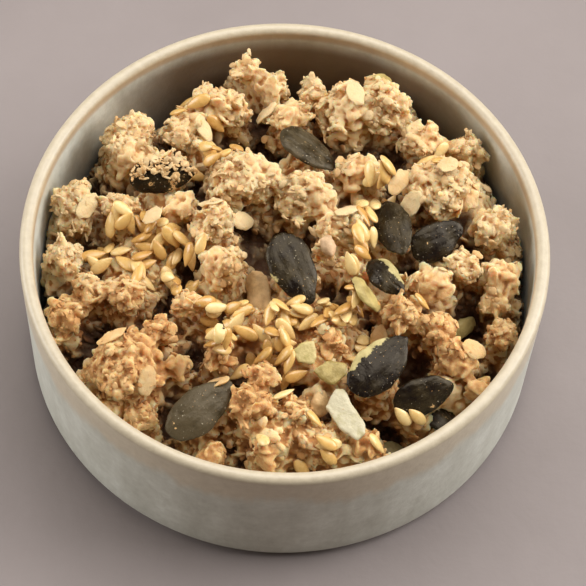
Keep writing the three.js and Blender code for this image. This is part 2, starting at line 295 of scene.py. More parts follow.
def rise_between(tree, value, low, high):
    made = put(tree, "ShaderNodeMapRange", {"interpolation_type": "SMOOTHSTEP"}, Value=value)
    fill(tree, made, From_Min=low, From_Max=high)
    return made.outputs["Result"]


def noise(tree, place, scale, detail=3.0, roughness=0.55):
    values = dict(Scale=scale, Detail=detail, Roughness=roughness)
    return put(tree, "ShaderNodeTexNoise", Vector=place, **values).outputs[0]


def new_material(name):
    material = bpy.data.materials.new(name)
    material.use_nodes = True
    tree = material.node_tree
    surface = tree.nodes["Principled BSDF"]
    return material, tree, surface


def own_place(tree):
    return put(tree, "ShaderNodeTexCoord").outputs["Object"]


def read_note(tree, name):
    return put(tree, "ShaderNodeAttribute", {"attribute_name": name}).outputs


def stretched(tree, place, factors):
    made = put(tree, "ShaderNodeVectorMath", {"operation": "MULTIPLY"})
    feed(tree, made.inputs[0], place)
    feed(tree, made.inputs[1], factors)
    return made.outputs[0]


def bumped(tree, surface, height, distance, strength):
    made = put(tree, "ShaderNodeBump", Height=height, Distance=distance, Strength=strength)
    feed(tree, surface.inputs["Normal"], made.outputs[0])

# %% [markdown]
# ## Table and light
# The bowl stands on a plain, slightly warm grey floor. A soft light stands at each side, a little
# behind the bowl, so the wall that faces the camera is in the shade and both flanks are bright. A
# third and larger one hangs above, behind and a little to the right: it makes the gaps between the
# clusters dark on the camera's side, and the floor lighter at the back right than at the front left.
# A faint warm light from all round stands for the walls of the room.

# %% Floor
FLOOR_GREYS = [(0.3, (0.230, 0.193, 0.181)), (0.7, (0.273, 0.231, 0.218))]


def floor_material():
    material, tree, surface = new_material("pale_floor")
    place = own_place(tree)
    cloud = noise(tree, place, 14.0, 6.0, 0.6)
    fill(tree, surface, Base_Color=ramp(tree, cloud, FLOOR_GREYS), Roughness=0.75)
    bumped(tree, surface, noise(tree, place, 160.0, 5.0), 0.0006, 0.3)
    return material


bpy.ops.mesh.primitive_plane_add(size=4)
floor = named("floor")
floor.data.materials.append(floor_material())

# %% Lights
AIM_OF_LIGHTS = Vector((0, 0, 0.03))
ROOM_COLOUR = (1.0, 0.78, 0.56)
ROOM_STRENGTH = 0.10


def soft_light(name, at, size, power):
    bpy.ops.object.light_add(type="AREA", location=at)
    light = named(name)
    light.data.shape = "RECTANGLE"
    light.data.size, light.data.size_y = size
    light.data.energy = power
    way = AIM_OF_LIGHTS - Vector(at)
    light.rotation_euler = way.to_track_quat("-Z", "Y").to_euler()


soft_light("left_softbox", at=(-0.80, 0.08, 0.31), size=(0.6, 0.45), power=6.0)
soft_light("right_softbox", at=(0.80, 0.15, 0.50), size=(0.6, 0.5), power=8.0)
soft_light("overhead_softbox", at=(0.14, 0.25, 0.85), size=(1.0, 0.7), power=9.3)

world = bpy.data.worlds.new("studio")
bpy.context.scene.world = world
world.use_nodes = True
room = world.node_tree.nodes["Background"]
fill(world.node_tree, room, Color=colour(*ROOM_COLOUR), Strength=ROOM_STRENGTH)
bpy.context.scene.view_settings.view_transform = "Standard"

# %% [markdown]
# ## The bowl
# A stoneware bowl is thrown on a wheel: it is one profile turned round an axis. Here a circle of
# points is drawn first, and each next ring is extruded from it, moved and resized, from the middle of
# the foot out, up the wall, over the lip and down the inside. A last gentle displacement leaves the
# slight unevenness of a hand that held the clay.

# %% Profile of the bowl
BOWL_SIDES = 144


def arc(r, z, radius, start, end, steps):
    angles = [math.radians(start + (end - start) * i / steps) for i in range(steps + 1)]
    return [(r + radius * math.cos(a), z + radius * math.sin(a)) for a in angles]


def wall(r0, z0, r1, z1, steps):
    shares = [i / steps for i in range(1, steps)]
    return [(r0 + (r1 - r0) * s, z0 + (z1 - z0) * s) for s in shares]


def bowl_profile():
    outer_foot = RIM_RADIUS - WALL_DRAW
    inner_foot = INNER_TOP - WALL_DRAW
    lip_low = BOWL_HEIGHT - LIP_RADIUS
    heel = arc(outer_foot - HEEL_RADIUS, HEEL_HEIGHT + HEEL_RADIUS, HEEL_RADIUS, -90, 0, 5)
    outside = wall(outer_foot, HEEL_HEIGHT + HEEL_RADIUS, RIM_RADIUS, lip_low, 12)
    lip = arc(RIM_RADIUS - LIP_RADIUS, lip_low, LIP_RADIUS, 0, 180, 12)
    inside = wall(INNER_TOP, lip_low, inner_foot, FLOOR_HEIGHT + COVE_RADIUS, 10)
    cove = arc(inner_foot - COVE_RADIUS, FLOOR_HEIGHT + COVE_RADIUS, COVE_RADIUS, 0, -90, 7)
    foot = [(2, 1.2), (40, 1.2), (40.6, 0), (46, 0), (46.5, 1.6)]
    return foot + heel + outside + lip + inside + cove + [(2, FLOOR_HEIGHT)]


profile = bowl_profile()
print("rings in the profile:", len(profile))

# %% Turn the bowl
def turn_bowl():
    radius, height = profile[0]
    bpy.ops.object.select_all(action="DESELECT")
    bpy.ops.mesh.primitive_circle_add(vertices=BOWL_SIDES, radius=radius * MM)
    bowl = named("bowl_glazed")
    edit_all()
    bpy.ops.transform.translate(value=(0, 0, height * MM))
    bpy.ops.mesh.extrude_region_move()
    bpy.ops.mesh.merge(type="CENTER")
    bpy.ops.mesh.select_all(action="DESELECT")
    return bowl


def rings_of_bowl(bowl):
    """Extrudes ring after ring from the first one."""
    leave_edit()
    points = points_of(bowl.data)
    on_ring = np.hypot(points[:, 0], points[:, 1]) > 1 * MM
    bowl.data.vertices.foreach_set("select", on_ring)
    bpy.ops.object.mode_set(mode="EDIT")
    for (r0, z0), (r1, z1) in zip(profile, profile[1:]):
        up = {"value": (0, 0, (z1 - z0) * MM)}
        bpy.ops.mesh.extrude_edges_move(TRANSFORM_OT_translate=up)
        grow = r1 / r0
        bpy.ops.transform.resize(value=(grow, grow, 1), center_override=(0, 0, 0))
    bpy.ops.mesh.extrude_edges_move()
    bpy.ops.mesh.merge(type="CENTER")
    bpy.ops.mesh.select_all(action="SELECT")
    bpy.ops.mesh.normals_make_consistent(inside=False)
    leave_edit()


bowl = turn_bowl()
rings_of_bowl(bowl)
print("bowl:", triangles(bowl), "triangles, box", [round(v / MM, 1) for v in bowl.dimensions])

# %% Let the wall waver
def uneven(piece, name, size, depth, middle=0.5, direction="NORMAL"):
    """Moves the surface in and out by a cloudy pattern; at `middle` the pattern leaves it in place."""
    texture = bpy.data.textures.new(name, "CLOUDS")
    texture.noise_scale = size * MM
    texture.noise_depth = 2
    add_modifier(
        piece,
        "DISPLACE",
        texture=texture,
        strength=depth * MM,
        mid_level=middle,
        direction=direction,
    )


uneven(bowl, "hand_thrown", size=34, depth=0.22, middle=0.9)
apply_modifiers(bowl)
bpy.ops.object.shade_smooth_by_angle(angle=math.radians(50))
print("bowl after the hand:", [round(v / MM, 2) for v in bowl.dimensions])

# %% [markdown]
# ### Glaze
# The glaze is a pale grey-green that breaks to cream on the lip. Under the lip a beige band hangs
# down in soft tongues, and faint streaks run down the wall, because glaze flows while it melts.
# Inside, it runs thin and brown just under the lip, and low on the back wall it is painted dark brown
# as the shade that falls there. The foot is bare clay. All of it follows from the height above the
# table, the distance from the axis and how far back a point lies, so the material needs no image.

# %% Colours of the glaze, and where they change, in metres
GREY_GREENS = [(0.36, (0.48, 0.475, 0.40)), (0.5, (0.60, 0.60, 0.52)), (0.64, (0.74, 0.75, 0.67))]
BAND_BEIGES = ((0.50, 0.42, 0.30), (0.70, 0.62, 0.48))
LIP_CREAMS = ((0.44, 0.365, 0.255), (0.62, 0.535, 0.385))
THIN_BROWN = (0.46, 0.27, 0.11)
# The next colour is painted shade: low on the inside of the back wall, out of reach of the light from
# behind.
BACK_WALL_SHADE = (0.15, 0.09, 0.045)
BARE_CLAY = (0.10, 0.075, 0.055)
TONGUES = 0.013  # how far the noise draws the beige band down
BAND_FROM = (0.0175, 0.0225)  # heights, before the noise is taken off
LIP_FROM = (0.0334, 0.0346)
THIN_FROM = (0.0322, 0.0334)
THIN_UP_TO = (0.0352, 0.0338)
BACK_SHADE_UP_TO = (0.0340, 0.0285)
CLAY_UP_TO = (0.0026, 0.0019)
OUTSIDE_FROM = (0.0482, 0.0488)  # distances from the axis
BACK_SHADE_FROM = (0.026, 0.044)  # distances behind the middle

# %% Glaze material
def reach_from_axis(tree, place):
    length = put(tree, "ShaderNodeVectorMath", {"operation": "LENGTH"})
    feed(tree, length.inputs[0], stretched(tree, place, (1, 1, 0)))
    return length.outputs["Value"]


def glaze_body(tree, place):
    """Grey-green glaze: blotches, faint runs down the wall, and a fine mottle."""
    runs = noise(tree, stretched(tree, place, (1, 1, 0.25)), 160.0, 5.0, 0.6)
    blotches = noise(tree, place, 110.0, 4.0, 0.6)
    mottle = noise(tree, place, 620.0, 4.0, 0.6)
    shade = total(tree, times(tree, runs, 0.4), (blotches, 0.35), (mottle, 0.25))
    return ramp(tree, shade, GREY_GREENS), mottle


def mottled(tree, mottle, colours):
    darker, lighter = colours
    return mix(tree, mottle, colour(*darker), colour(*lighter))


def glaze_material():
    material, tree, surface = new_material("glaze")
    place = own_place(tree)
    apart = put(tree, "ShaderNodeSeparateXYZ", Vector=place)
    height, backward = apart.outputs["Z"], apart.outputs["Y"]
    body, mottle = glaze_body(tree, place)
    outside = rise_between(tree, reach_from_axis(tree, place), *OUTSIDE_FROM)
    within = calc(tree, "SUBTRACT", 1.0, outside)
    tongues = noise(tree, stretched(tree, place, (1, 1, 0.3)), 95.0, 5.0, 0.65)
    band_edge = calc(tree, "SUBTRACT", height, times(tree, tongues, TONGUES))
    band = rise_between(tree, band_edge, *BAND_FROM)
    painted = mix(tree, times(tree, band, outside), body, mottled(tree, mottle, BAND_BEIGES))
    lip = rise_between(tree, height, *LIP_FROM)
    painted = mix(tree, lip, painted, mottled(tree, mottle, LIP_CREAMS))
    thin = rise_between(tree, height, *THIN_FROM)
    thin = times(tree, thin, rise_between(tree, height, *THIN_UP_TO))
    painted = tinted(tree, painted, times(tree, thin, 0.6), within, THIN_BROWN)
    # Painted shade: low on the inside of the back wall, the glaze is painted dark brown.
    low = rise_between(tree, backward, *BACK_SHADE_FROM)
    low = times(tree, low, rise_between(tree, height, *BACK_SHADE_UP_TO))
    painted = tinted(tree, painted, times(tree, low, within), 0.9, BACK_WALL_SHADE)
    clay = rise_between(tree, height, *CLAY_UP_TO)
    painted = mix(tree, clay, painted, colour(*BARE_CLAY))
    fill(tree, surface, Base_Color=painted, Roughness=total(tree, 0.28, (mottle, 0.22)))
    bumped(tree, surface, mottle, 0.00025, 0.35)
    return material


bowl.data.materials.append(glaze_material())
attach(bowl, "root")
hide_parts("bowl")

# %% [markdown]
# ## Pumpkin seeds and chips: where they lie
# Ten hulled pumpkin seeds and three chips of kernel are large enough to be pieces of their own. Their
# sizes and the way they lie are those of the frame: `tip` lifts the pointed end, `roll` lifts the
# left edge and `turn` swings the seed round. They are listed first, because the oats must leave them
# free.

# %% Sizes and places, in millimetres and degrees
PUMPKIN_THICK = 2.6
PUMPKIN_SEEDS = {
    "back_middle": dict(size=(13, 8), at=(3.4, 21.6, 33.6), turn=-32, tip=-12, roll=-18, grey=0.7),
    "back_left_crusted": dict(
        size=(13, 7.6), at=(-24.2, 14.2, 33.4), turn=12, tip=2, roll=48, crusted=1, grey=0.2
    ),
    "right_of_middle": dict(size=(13.4, 7.6), at=(20.4, 5.2, 33.6), turn=-70, tip=8, roll=24, grey=0.5),
    "far_right": dict(size=(11.6, 7.8), at=(28.6, 3.2, 33.2), turn=34, tip=4, roll=30, grey=0.1),
    "split_right": dict(size=(10.6, 5.6), at=(19.2, -6, 34), turn=-50, tip=8, roll=20, bare=1),
    "middle": dict(
        size=(15.2, 9), at=(1.8, -6.4, 36.2), turn=-64, tip=-16, roll=4, bare=-0.55, grey=0.3
    ),
    # Its high grey stands partly for a dusty skin and partly for painted sheen: a lighter colour in
    # place of the broad reflection on its face.
    "lower_left": dict(size=(15.4, 8.6), at=(-14, -33.6, 30.6), turn=44, tip=10, roll=12, grey=1.1),
    "black_front": dict(
        size=(15, 9), at=(18.4, -24.4, 34.2), turn=50, tip=8, roll=14, bare=0.9, grey=0
    ),
    "lower_right": dict(size=(12.4, 7.6), at=(27, -27.8, 29.4), turn=24, tip=4, roll=40, grey=0.2),
    "deep_right": dict(size=(12, 7.6), at=(29.6, -27.6, 22), turn=-40, tip=0, roll=-16, grey=0.2),
}
CHIP_THICK = 1.6
KERNEL_CHIPS = {
    "front_white": dict(size=(10.6, 6.8), at=(12.8, -34, 31.6), turn=-40, tip=0, roll=12),
    "middle_green": dict(size=(5.4, 4.8), at=(4.4, -22.8, 35), turn=10, tip=6, roll=20),
    "middle_olive": dict(size=(6.8, 4.8), at=(9, -26.2, 33.9), turn=-14, tip=0, roll=12),
}


def lie_of(turn, tip, roll):
    angles = (math.radians(roll), -math.radians(tip), math.radians(turn))
    return Euler(angles, "XYZ").to_matrix()


def left_free(points, margin=-0.2, below=1.6):
    """True for each point that is neither in a seed or chip nor close above it."""
    free = np.ones(len(points), bool)
    laid = [(p, PUMPKIN_THICK) for p in PUMPKIN_SEEDS.values()]
    laid += [(p, CHIP_THICK) for p in KERNEL_CHIPS.values()]
    for piece, thick in laid:
        lie = np.array(lie_of(piece["turn"], piece["tip"], piece["roll"]))
        own = (points / MM - np.array(piece["at"])) @ lie
        length, width = piece["size"]
        across = np.hypot(own[:, 0] / (length / 2 + margin), own[:, 1] / (width / 2 + margin))
        free &= (across > 1) | (own[:, 2] < -thick / 2 - below)
    return free

# %% [markdown]
# ## The baked oats
# Muesli clusters are oats stuck together with syrup and baked. They lie in a bed of loose oats. The
# bed is a copy of the heap's solid, pressed down where gaps are dark between the clusters. The
# clusters are heaped from balls, a back lot and a front lot. Each of the three is then fused into one
# mass, dented and strewn with bits.

# %% Copy a solid of the frame, and keep a piece in the bowl
def copy_of_node(node_name, name):
    piece = copied(frame["nodes"][node_name], name)
    piece.data.materials.clear()
    choose(piece)
    edit_all()
    bpy.ops.mesh.remove_doubles(threshold=1e-6)
    leave_edit()
    return piece


ROOM_REACH = INNER_TOP - 0.5
ROOM_FLOOR = FLOOR_HEIGHT + 0.35
ROOM_TOP = HEAP_TOP - 0.05


def keep_in_room(piece):
    """Nothing goes through the wall of the bowl, or above the frame's own top."""
    points = points_of(piece.data) / MM
    out = np.hypot(points[:, 0], points[:, 1])
    pull = np.minimum(1, ROOM_REACH / np.maximum(out, 1e-6))
    points[:, :2] *= pull[:, None]
    points[:, 2] = np.clip(points[:, 2], ROOM_FLOOR, ROOM_TOP)
    put_points(piece.data, points * MM)

# %% The loose bed, lowered between the clusters
GAP_DEPTH = 7.6
BED_FOOT = FLOOR_HEIGHT + 6  # only what lies above this height is pressed down
CARRIED = (5, 5)  # half width and half depth of the ground that a seed or chip lies on
SEED_MOUNDS = [  # the drifts of linseed: middle, half width and half depth
    (2, -15.5, 15, 5.5),
    (-28, 0, 8.5, 10),
    (15, 7, 5, 9),
    (-15, 22, 5, 4),
    (6, -38, 12, 5),
]


def drop_of_gaps(x, y):
    """How far the ground sinks at a place: fully in the gaps, not under drifts, seeds and chips."""
    drop = np.ones_like(x)
    laid = [*PUMPKIN_SEEDS.values(), *KERNEL_CHIPS.values()]
    carried = [(*piece["at"][:2], *CARRIED) for piece in laid]
    for middle_x, middle_y, across, along in SEED_MOUNDS + carried:
        away = np.hypot((x - middle_x) / across, (y - middle_y) / along)
        drop = np.minimum(drop, 1 - np.exp(-(away**4)))
    return GAP_DEPTH * drop


bed = copy_of_node("muesli_heap", "loose_oats")
ground_points = points_of(bed.data) / MM
above = ground_points[:, 2] > BED_FOOT
ground_points[above, 2] -= drop_of_gaps(ground_points[above, 0], ground_points[above, 1])
put_points(bed.data, ground_points * MM)
print("gaps lowered by up to", GAP_DEPTH, "mm")

# %% Clusters: middle x, y, z and half width, depth and height, from the back to the front
CLUSTERS = [
    (-9.5, 39.5, 33, 3.6, 3.4, 4),
    (-3.8, 36.5, 31, 3.3, 3.6, 5),
    (4, 36, 30, 2.8, 3.6, 5.5),
    (-14, 32.5, 30.5, 7.4, 4.8, 5.6),
    (-0.5, 30, 31, 4.4, 4, 5),
    (10.5, 32.5, 31, 6.4, 6, 6.2),
    (18, 34, 31, 6.2, 6.8, 6.2),
    (26, 27.5, 29, 5.8, 3.8, 5),
    (34.5, 26.5, 28, 5.2, 4, 5),
    (-31, 23.5, 28.5, 5.4, 8.2, 6.6),
    (-20.5, 26.5, 29, 5.4, 5, 5.4),
    (-24, 17.5, 29.5, 6.4, 4.2, 5),
    (-32, 9.5, 29, 4.4, 3.8, 4.4),
    (-20, 9, 30.5, 3.4, 4.6, 5),
    (-41, 9.5, 27.5, 5.4, 6, 6),
    (-8, 14, 33.5, 8.6, 6.6, 6.6),
    (3.5, 11.5, 33.5, 7, 5.6, 6),
    (13.5, 18, 32.5, 5.6, 4.2, 5.2),
    (30, 15.5, 31.5, 9, 8, 7),
    (40, 8.5, 29, 5.6, 5.2, 5.6),
    (9.5, 5, 32.5, 5, 4, 4.8),
    (8, -1, 33.5, 2.6, 2.6, 3.4),
    (12.8, -3, 32.5, 3.2, 2.8, 3.8),
    (-13.5, 4, 33.5, 5, 5, 5.6),
    (-11.5, -5, 33, 5, 4.8, 5.6),
    (28, -5, 31, 5.2, 4.6, 5.2),
    (33.8, -1, 30.5, 3.8, 3.8, 4.8),
    (41, -2.8, 28, 4.8, 5.6, 6.2),
    (-42, -1.2, 26, 4.8, 4.4, 5.2),
    (-36, -9, 28.5, 3.8, 3.8, 4.6),
    (-29, -10.5, 30, 4.4, 3.6, 4.4),
    (-40.5, -13.8, 26, 4.8, 4.8, 5.6),
    (-22.5, -18.5, 30.5, 3.8, 3.6, 4.6),
    (-18.5, -24.8, 29.5, 3.6, 3, 4.2),
    (-11.2, -22.5, 31, 3.2, 4.4, 5),
    (-17.5, -12, 30.5, 4, 3.4, 3.6),
    (-28.5, -26, 29.5, 8.4, 9, 8.6),
    (-25, -34, 26, 4.8, 4.2, 5),
    (-3, -27, 32, 3.6, 3, 4),
    (-4.5, -32.5, 30.5, 5.6, 4.8, 5.8),
    (3.4, -33, 29.5, 4.4, 4.2, 5.2),
    (-1, -40.2, 27, 4.2, 4.2, 6),
    (16.5, -38, 26.5, 6, 4.2, 5.4),
    (-11.2, -40.6, 25, 3.8, 3.2, 4.2),
    (8, -37, 27.5, 3.2, 3.2, 4.2),
    (9.2, -19.7, 32, 3.6, 4, 4),
    (23, -12.4, 32, 4.2, 4.4, 4.6),
    (29, -14.6, 30.5, 4.8, 3.6, 4.4),
    (33, -20.4, 29.5, 5, 5.4, 5.2),
    (38, -25, 27, 4.2, 3.4, 4),
    (42, -12.6, 26, 3.8, 3.6, 4.4),
]
print("clusters:", len(CLUSTERS))

# %% Pile balls into a cluster: a heart, and the knobs round it
KNOBS_A_CLUSTER = 18
HEART_SHARE = 0.76  # of the cluster's half size
KNOB_SHARES = (0.24, 0.42)
KNOBS_REACH = 0.98
BACK_LOT = -1.3  # clusters with their middle behind this line belong to the back lot
SMALLER_LINE = -20  # those behind this line are shrunk less than those in front of it
SHRINK_BEHIND, SHRINK_BEFORE = 0.96, 0.89


def ball_at(model, middle, half):
    made = copied(model, "knob")
    size = Matrix.Diagonal((*half, 1))
    made.data.transform(Matrix.Translation(Vector(middle) * MM) @ size)
    return made


def cluster_balls(model, cluster, chance):
    middle, half = Vector(cluster[:3]), Vector(cluster[3:])
    half *= SHRINK_BEHIND if middle.y > SMALLER_LINE else SHRINK_BEFORE
    made = [ball_at(model, middle, half * HEART_SHARE)]
    for _ in range(KNOBS_A_CLUSTER):
        share = chance.uniform(*KNOB_SHARES)
        way = Vector([chance.gauss(0, 1) for _ in range(3)]).normalized() * (KNOBS_REACH - share)
        place = middle + Vector([w * h for w, h in zip(way, half)])
        out = math.hypot(place.x, place.y) + share * half.x
        if out < INNER_TOP - 0.6 and left_free(np.array([place]) * MM, 0.4)[0]:
            round_half = share * sum(half) / 3
            sides = [round_half * chance.uniform(0.8, 1.2) for _ in range(3)]
            made.append(ball_at(model, place, sides))
    return made


def pile(name, clusters, seed):
    chance = random.Random(seed)
    balls = [b for cluster in clusters for b in cluster_balls(ball, cluster, chance)]
    print(name, "is piled from", len(balls), "balls")
    return joined(balls, name)


bpy.ops.object.select_all(action="DESELECT")
bpy.ops.mesh.primitive_ico_sphere_add(subdivisions=3, radius=MM)
ball = named("ball")
back = pile("oat_clusters_back", [c for c in CLUSTERS if c[1] > BACK_LOT], 4)
front = pile("oat_clusters_front", [c for c in CLUSTERS if c[1] <= BACK_LOT], 9)
bpy.data.objects.remove(ball)

# %% Fuse each into one even skin, dented into lumps and crumb
def fuse_and_dent(piece):
    add_modifier(piece, "REMESH", mode="VOXEL", voxel_size=0.7 * MM)
    add_modifier(piece, "SMOOTH", factor=0.5, iterations=2)
    uneven(piece, "oat_lumps", size=2.6, depth=2.4, middle=0.75)
    uneven(piece, "oat_crumb", size=1.1, depth=0.7, middle=0.6)
    apply_modifiers(piece)
    keep_in_room(piece)
    print(piece.name, triangles(piece), "triangles")


masses = [bed, back, front]
for mass in masses:
    fuse_and_dent(mass)

# %% Height map: plumb lines dropped on the pieces, one in each cell
CELL = 0.4
CELLS = int(2 * INNER_TOP / CELL)
GRID = (np.arange(CELLS) - CELLS / 2 + 0.5) * CELL


def height_map(*pieces):
    heights = np.full((CELLS, CELLS), FLOOR_HEIGHT, float)
    down = Vector((0, 0, -1))
    for piece in pieces:
        tree = BVHTree.FromObject(piece, bpy.context.evaluated_depsgraph_get())
        for j, y in enumerate(GRID):
            for i, x in enumerate(GRID):
                if x * x + y * y < INNER_TOP * INNER_TOP:
                    hit = tree.ray_cast(Vector((x * MM, y * MM, 0.06)), down)[0]
                    if hit:
                        heights[j, i] = max(heights[j, i], hit.z / MM)
    return heights


def map_at(heights, points):
    """The height of the map under each point, both in millimetres."""
    cells = np.clip(((points[:, :2] + INNER_TOP) / CELL).astype(int), 0, CELLS - 1)
    return heights[cells[:, 1], cells[:, 0]]


bed_level = height_map(bed)
print("bed: highest", round(bed_level.max(), 1), "mm")

# %% Where oats may stick: in sight, off the wall, and not on a seed or a chip
def normals_of(mesh):
    flat = np.empty(3 * len(mesh.vertices), np.float32)
    mesh.vertex_normals.foreach_get("vector", flat)
    return flat.reshape(-1, 3)


def crumbly(points):
    """Two slow waves that cross: crumbs lie almost everywhere, and leave small patches smooth."""
    x, y = points[:, 0] / MM, points[:, 1] / MM
    return np.sin(x / 2.3 + 1.7 * np.sin(y / 5)) + np.sin(y / 2.9 + 1.3 * np.sin(x / 4)) > -0.8


def note_free_places(piece, patchy=False):
    points = points_of(piece.data)
    out = np.hypot(points[:, 0], points[:, 1]) / MM
    in_sight = points[:, 2] / MM > map_at(bed_level, points / MM) - 1.5
    free = left_free(points) & in_sight & (normals_of(piece.data)[:, 2] > -0.45)
    free &= (points[:, 2] > 12 * MM) & (out < INNER_TOP - 1.1)
    if patchy:
        free &= crumbly(points)
    note(piece.data, "free_place", free.astype(float))
    return free.mean()


for mass in masses:
    print("share of", mass.name, "that takes oats:", round(note_free_places(mass), 2))

# %% [markdown]
# ### Oat bits
# What shows on a cluster is thousands of small bits: round knobs, longer nubs, broken flakes, thin
# shreds and crumbs. Each is a small ball, squashed to its size and dented by a noise pattern. A few
# of each are modelled, from a few dozen faces, and set aside in a collection of their own: a shelf to
# strew from.

# %% Model one bit
def model_bit(name, half, dent, grain, finer, seed):
    bpy.ops.object.select_all(action="DESELECT")
    bpy.ops.mesh.primitive_ico_sphere_add(subdivisions=finer, radius=MM)
    bit = named(name)
    away = (seed * 0.037, seed * 0.011, 0)
    bpy.ops.object.mode_set(mode="EDIT")
    bpy.ops.transform.resize(value=half, center_override=(0, 0, 0))
    bpy.ops.transform.translate(value=away)
    leave_edit()
    uneven(bit, name, size=grain, depth=dent)
    apply_modifiers(bit)
    edit_all()
    bpy.ops.transform.translate(value=[-v for v in away])
    leave_edit()
    bpy.ops.object.shade_smooth_by_angle(angle=math.radians(55))
    return bit


BIT_KINDS = {
    "oat_knobs": dict(half=(1.2, 1.05, 0.95), dent=0.9, grain=1.0, finer=2),
    "oat_nubs": dict(half=(1.9, 1.05, 0.9), dent=0.9, grain=1.0, finer=2),
    "oat_broken_flakes": dict(half=(2.2, 1.6, 0.4), dent=0.9, grain=1.3, finer=2),
    "oat_shreds": dict(half=(1.1, 0.75, 0.3), dent=0.8, grain=0.8, finer=2),
    "oat_crumbs": dict(half=(0.5, 0.44, 0.4), dent=0.7, grain=0.35, finer=1),
}
SHAPES_A_KIND = 6


def shapes_of(kind, seed):
    shelf = bpy.data.collections.new(kind + "_shapes")
    bpy.context.scene.collection.children.link(shelf)
    for i in range(SHAPES_A_KIND):
        bit = model_bit(f"{kind}_{i}", seed=seed + i, **BIT_KINDS[kind])
        for home in list(bit.users_collection):
            home.objects.unlink(bit)
        shelf.objects.link(bit)
    return shelf


shelves = {kind: shapes_of(kind, 10 * n + 1) for n, kind in enumerate(BIT_KINDS)}

# %% [markdown]
# ### Strewing
# Geometry Nodes drop points on a mass, at least a set distance apart, put one of the shapes on each,
# turn and size it by chance from a fixed seed, and make it all one real mesh. `tone` is drawn once
# for each bit: its material reads it, so some bits are paler and some are browner.

# %% A node tree that strews a shelf of shapes
KINDS_OF_CHANCE = ["FLOAT_VECTOR", "FLOAT", "INT"]  # the node has two inputs and one output for each
BITS_TRIED = 6  # points tried on each square of the set distance


def by_chance(tree, kind, low, high, seed):
    made = put(tree, "FunctionNodeRandomValue", {"data_type": kind}, Seed=seed)
    number = KINDS_OF_CHANCE.index(kind)
    made.inputs[2 * number].default_value = low
    made.inputs[2 * number + 1].default_value = high
    return made.outputs[number]


def strewing_tree(shelf, apart, size, tilt, seed):
    tree = bpy.data.node_groups.new("strew_" + shelf.name, "GeometryNodeTree")
    tree.interface.new_socket("Geometry", in_out="INPUT", socket_type="NodeSocketGeometry")
    tree.interface.new_socket("Geometry", in_out="OUTPUT", socket_type="NodeSocketGeometry")
    start = tree.nodes.new("NodeGroupInput").outputs[0]
    free = put(tree, "GeometryNodeInputNamedAttribute", {"data_type": "FLOAT"}, Name="free_place")
    spread = put(
        tree,
        "GeometryNodeDistributePointsOnFaces",
        {"distribute_method": "POISSON"},
        Mesh=start,
        Selection=free.outputs[0],
        Distance_Min=apart * MM,
        Density_Max=BITS_TRIED / (apart * MM) ** 2,
        Seed=seed,
    )
    shapes = put(tree, "GeometryNodeCollectionInfo", Collection=shelf)
    fill(tree, shapes, Separate_Children=True, Reset_Children=True)
    turn = by_chance(tree, "FLOAT_VECTOR", (-tilt, -tilt, 0), (tilt, tilt, 2 * math.pi), seed + 1)
    turned = put(tree, "FunctionNodeRotateRotation", {"rotation_space": "LOCAL"})
    feed(tree, turned.inputs[0], spread.outputs["Rotation"])
    feed(tree, turned.inputs[1], turn)
    placed = put(
        tree,
        "GeometryNodeInstanceOnPoints",
        Points=spread.outputs["Points"],
        Instance=shapes.outputs[0],
        Pick_Instance=True,
        Instance_Index=by_chance(tree, "INT", 0, len(shelf.objects) - 1, seed + 2),
        Rotation=turned.outputs[0],
        Scale=by_chance(tree, "FLOAT_VECTOR", (size[0],) * 3, (size[1],) * 3, seed + 3),
    )
    toned = put(
        tree,
        "GeometryNodeStoreNamedAttribute",
        {"data_type": "FLOAT", "domain": "INSTANCE"},
        Geometry=placed.outputs[0],
        Name="tone",
        Value=by_chance(tree, "FLOAT", 0, 1, seed + 4),
    )
    real = put(tree, "GeometryNodeRealizeInstances", Geometry=toned.outputs[0])
    end = tree.nodes.new("NodeGroupOutput")
    tree.links.new(real.outputs[0], end.inputs[0])
    return tree


def strew(base, kind, apart, size, tilt, seed):
    """Bits of one kind on a copy of the base, which itself isn't in the result."""
    piece = copied(base, kind)
    piece.data.materials.clear()
    tree = strewing_tree(shelves[kind], apart, size, tilt, seed)
    add_modifier(piece, "NODES", node_group=tree)
    try:
        apply_modifiers(piece)
        keep_in_room(piece)
    except RuntimeError:  # chance found no place for even one bit
        piece.modifiers.clear()
        piece.data.clear_geometry()
    return piece

# %% [markdown]
# ### Baking
# Syrup and heat make one crust of the larger bits and what they lie on. Knobs, nubs and flakes are
# therefore joined with their mass and remeshed into a single closed skin, which is then roughened and
# thinned out to a set number of triangles. Crumbs and shreds are strewn over the crust afterwards and
# stay loose.

# %% Bake the bits together
FINE_SKIN = 0.33 * MM
MOST_TRIANGLES = {
    "loose_oats": 110000,
    "oat_clusters_back": 188000,
    "oat_clusters_front": 188000,
}
STREWN = {
    "oat_knobs": dict(apart=2.0, size=(0.45, 1.2), tilt=0.8, seed=21),
    "oat_nubs": dict(apart=2.7, size=(0.55, 1.15), tilt=0.7, seed=31),
    "oat_broken_flakes": dict(apart=3.0, size=(0.6, 1.2), tilt=0.8, seed=41),
}


def bake(base):
    bits = [strew(base, kind, **how) for kind, how in STREWN.items()]
    name = base.name
    baked = joined([base, *bits], name)
    add_modifier(baked, "REMESH", mode="VOXEL", voxel_size=FINE_SKIN)
    uneven(baked, "coarse_crumb", size=1.1, depth=0.3)
    uneven(baked, "fine_crumb", size=0.5, depth=0.1)
    apply_modifiers(baked)
    share = MOST_TRIANGLES[name] / triangles(baked)
    print(name, "baked together:", triangles(baked), "triangles; share kept:", round(share, 2))
    add_modifier(baked, "DECIMATE", ratio=min(1, share))
    apply_modifiers(baked)
    keep_in_room(baked)
    choose(baked)
    bpy.ops.object.shade_smooth()
    return baked


